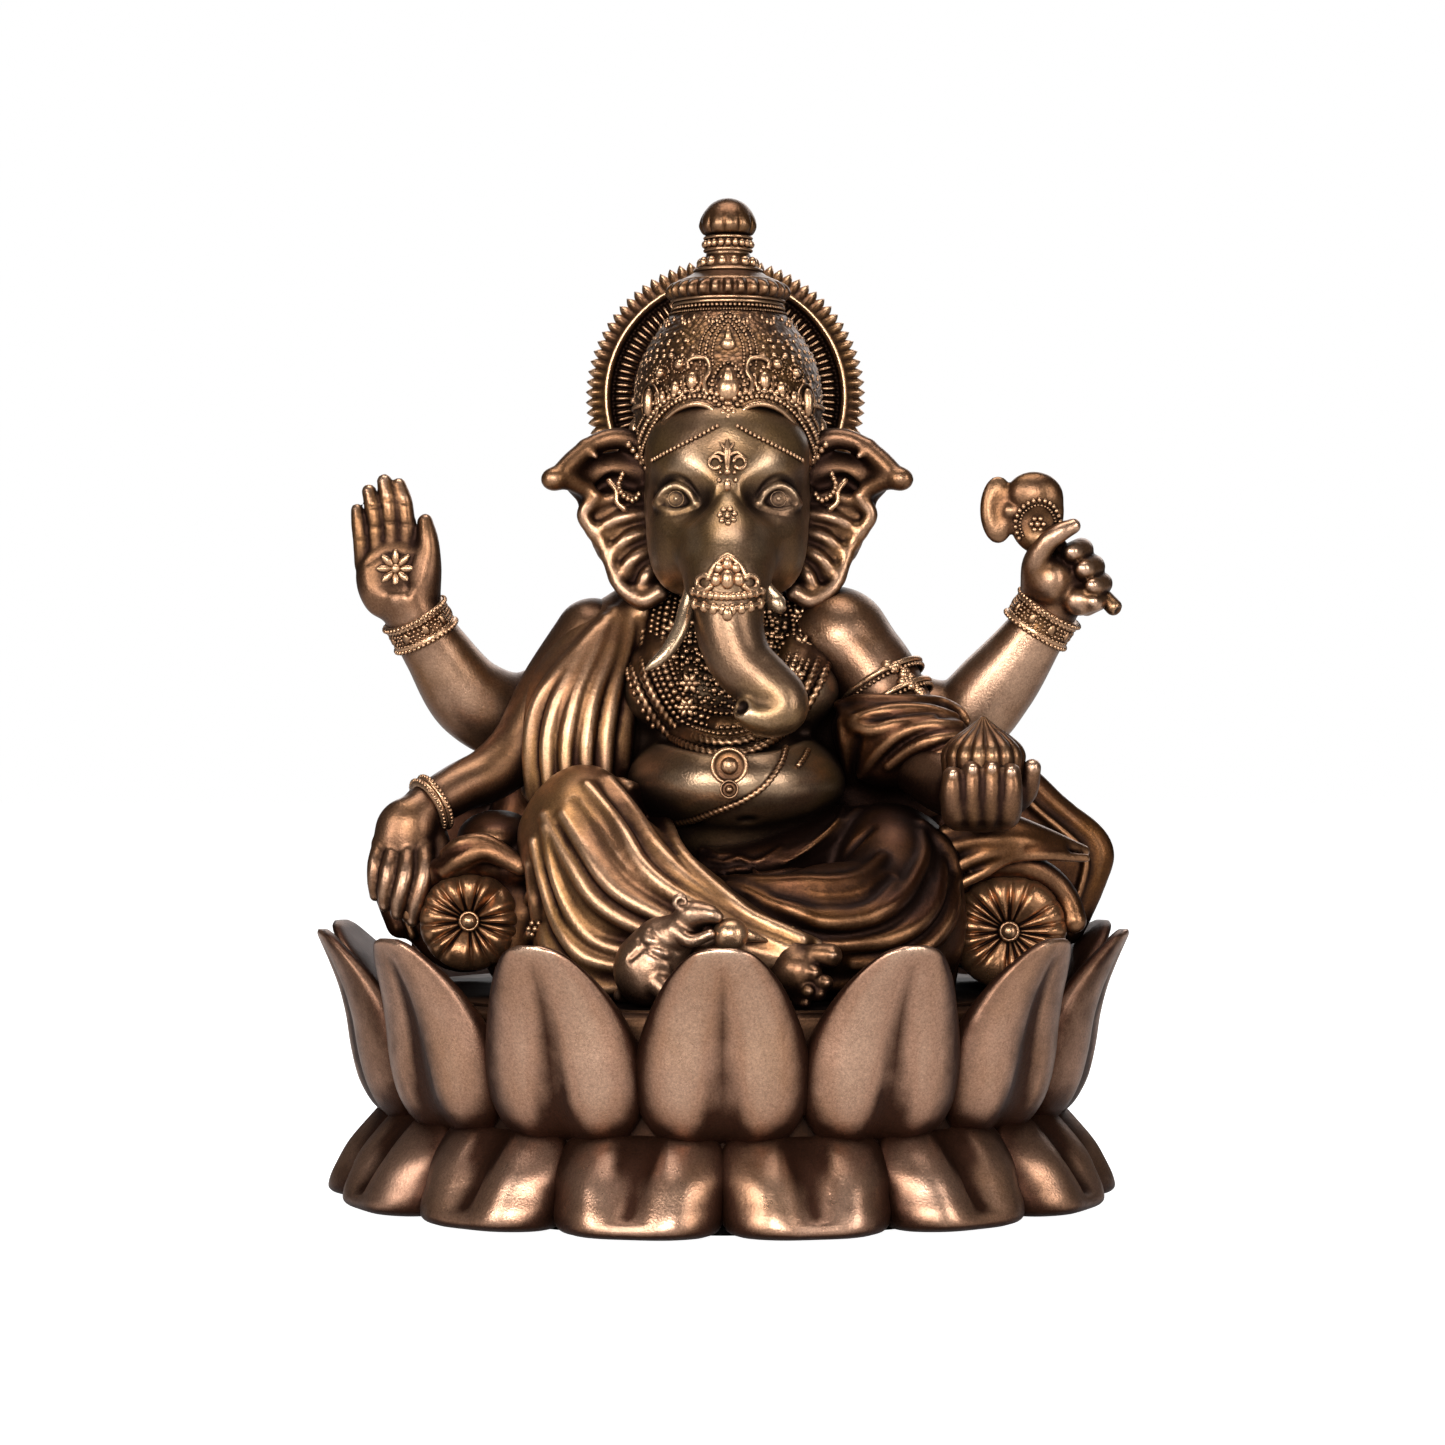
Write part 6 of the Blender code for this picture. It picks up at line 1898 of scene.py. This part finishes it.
def soft_light(name, at, towards, size, power):
    light = bpy.data.lights.new(name, "AREA")
    light.shape = "RECTANGLE"
    light.size, light.size_y = size
    light.energy = power
    obj = bpy.data.objects.new(name, light)
    obj.location = at
    obj.rotation_euler = (Vector(towards) - Vector(at)).to_track_quat("-Z", "Y").to_euler()
    bpy.context.scene.collection.objects.link(obj)


def build_floor():
    mesh = bpy.data.meshes.new("floor")
    size = 3.0
    mesh.from_pydata(
        [(-size, -size, 0), (size, -size, 0), (size, size, 0), (-size, size, 0)], [], [(0, 1, 2, 3)])
    floor = bpy.data.objects.new("floor", mesh)
    bpy.context.scene.collection.objects.link(floor)
    paint = bpy.data.materials.new("floor_paint")
    paint.use_nodes = True
    tree = paint.node_tree
    shader = tree.nodes["Principled BSDF"]
    shader.inputs["Base Color"].default_value = (0.60, 0.60, 0.60, 1)
    shader.inputs["Roughness"].default_value = 0.9
    shader.inputs["Specular IOR Level"].default_value = 0.1
    glow = tree.nodes.new("ShaderNodeEmission")
    path = tree.nodes.new("ShaderNodeLightPath")
    tree.links.new(path.outputs["Is Camera Ray"], glow.inputs["Strength"])
    both = tree.nodes.new("ShaderNodeAddShader")
    tree.links.new(shader.outputs["BSDF"], both.inputs[0])
    tree.links.new(glow.outputs["Emission"], both.inputs[1])
    tree.links.new(both.outputs["Shader"], tree.nodes["Material Output"].inputs["Surface"])
    mesh.materials.append(paint)


def build_room():
    world = bpy.data.worlds.new("studio")
    world.use_nodes = True
    tree = world.node_tree
    backdrop = tree.nodes["Background"]
    backdrop.inputs["Color"].default_value = (1, 1, 1, 1)
    room = tree.nodes.new("ShaderNodeBackground")
    room.inputs["Color"].default_value = (0.9, 0.92, 0.95, 1)
    room.inputs["Strength"].default_value = 0.05
    path = tree.nodes.new("ShaderNodeLightPath")
    blend = tree.nodes.new("ShaderNodeMixShader")
    tree.links.new(path.outputs["Is Camera Ray"], blend.inputs["Fac"])
    tree.links.new(room.outputs["Background"], blend.inputs[1])
    tree.links.new(backdrop.outputs["Background"], blend.inputs[2])
    tree.links.new(blend.outputs["Shader"], tree.nodes["World Output"].inputs["Surface"])
    bpy.context.scene.world = world


def build_lights():
    aim = (0, 0, 0.075)
    soft_light("key", (-0.60, -0.70, 0.34), aim, (0.26, 0.50), 5.0)
    soft_light("fill", (0.66, -0.58, 0.30), aim, (0.22, 0.50), 3.0)
    soft_light("front", (-0.05, -0.98, 0.30), aim, (0.50, 0.30), 8.2)
    soft_light("top", (0.0, -0.06, 0.75), aim, (0.5, 0.3), 3.5)
    soft_light("back", (0.1, 0.7, 0.45), aim, (0.8, 0.4), 2.5)


def build_camera():
    scene = bpy.context.scene
    camera = bpy.data.cameras.new("camera")
    camera.lens = 94.67
    camera.sensor_width = 36
    camera.clip_start = 0.01
    obj = bpy.data.objects.new("camera", camera)
    obj.location = (0, -0.620, 0.077)
    obj.rotation_euler = (math.radians(90), 0, 0)
    scene.collection.objects.link(obj)
    scene.camera = obj
    scene.view_settings.view_transform = "Standard"


def dress(node, material):
    """Gives a CAD node that stays visible its material."""
    for slot in bpy.data.objects[node].material_slots:
        slot.material = material


def main():
    skin = three_tone(
        "skin_bronze", (0.016, 0.008, 0.005), (0.170, 0.100, 0.061), (0.46, 0.32, 0.21),
        gold=(0.28, 0.165, 0.045), stain=0.7)
    limb = three_tone(
        "limb_bronze", (0.018, 0.007, 0.004), (0.175, 0.092, 0.054), (0.56, 0.36, 0.25),
        gold=(0.29, 0.14, 0.05))
    cloth = three_tone(
        "cloth_bronze", (0.020, 0.007, 0.004), (0.215, 0.108, 0.058), (0.60, 0.37, 0.235),
        gold=(0.42, 0.22, 0.075), gold_amount=0.6, rough=0.38)
    shaded_cloth = three_tone(
        "shaded_cloth_bronze", (0.010, 0.0036, 0.002), (0.052, 0.020, 0.0105), (0.30, 0.155, 0.082),
        gold=(0.14, 0.06, 0.017), gold_amount=0.6, rough=0.36)
    petal = three_tone(
        "petal_bronze", (0.040, 0.016, 0.009), (0.42, 0.245, 0.168), (0.64, 0.44, 0.32),
        gold=(0.31, 0.150, 0.062), hollow=3.6, reach=11.0, rough=0.30, stain=0.7)
    trim_metal = three_tone(
        "trim_bronze", (0.013, 0.005, 0.0026), (0.115, 0.055, 0.029), (0.50, 0.30, 0.18),
        gold=(0.30, 0.155, 0.05))
    worked_metal = three_tone(
        "chased_bronze", (0.015, 0.006, 0.003), (0.150, 0.075, 0.040), (0.56, 0.34, 0.21),
        gold=(0.32, 0.17, 0.055), gold_amount=0.6, chased=0.85)
    mouse = three_tone(
        "mouse_bronze", (0.022, 0.009, 0.005), (0.26, 0.15, 0.095), (0.60, 0.40, 0.28),
        gold=(0.36, 0.19, 0.07), gold_amount=0.4)
    # near-black bronze: painted shade for the drum between the petals and for the base plate underneath
    inner = three_tone(
        "raw_casting", (0.006, 0.0024, 0.0014), (0.036, 0.0155, 0.0085), (0.10, 0.05, 0.027),
        gold=(0.06, 0.027, 0.011), rough=0.52)
    felt = three_tone(
        "felt", (0.010, 0.008, 0.007), (0.035, 0.028, 0.024), (0.06, 0.05, 0.045), rough=0.95, metallic=0.0,
        gold=(0.04, 0.03, 0.026), grain=2.0)
    steel = three_tone(
        "steel", (0.10, 0.10, 0.10), (0.42, 0.42, 0.43), (0.70, 0.70, 0.70), rough=0.3, metallic=1.0,
        gold=(0.38, 0.37, 0.36), grain=0.5, stain=0.3)
    dress("felt_pad", felt)
    dress("base_plate", inner)
    for pin in ("body_pin", "neck_pin", "halo_pin", "rear_right_arm_pin", "rear_left_arm_pin"):
        dress(pin, steel)
    build_base(petal, inner)
    build_head(skin, trim_metal)
    build_tusks(skin)
    for side in (-1, 1):
        build_ear(side, limb, trim_metal)
    build_crown(trim_metal, worked_metal)
    build_finial(trim_metal)
    build_halo(trim_metal)
    torso = build_torso(skin)
    for build in (build_collar, build_pendants, build_cord):
        build(torso, trim_metal)
    build_right_leg(cloth, trim_metal)
    build_left_leg(shaded_cloth)
    build_foot(limb, trim_metal)
    build_raised_hand(limb, trim_metal)
    build_axe_hand(limb, trim_metal)
    build_axe(trim_metal)
    build_resting_hand(limb, trim_metal)
    build_sweet_hand(limb, trim_metal)
    build_modak(trim_metal)
    build_shoulder_shawl(cloth)
    build_arm_shawl(shaded_cloth)
    build_seat(shaded_cloth, trim_metal)
    build_mouse(mouse, trim_metal)
    for build in (build_floor, build_room, build_lights, build_camera):
        build()


main()
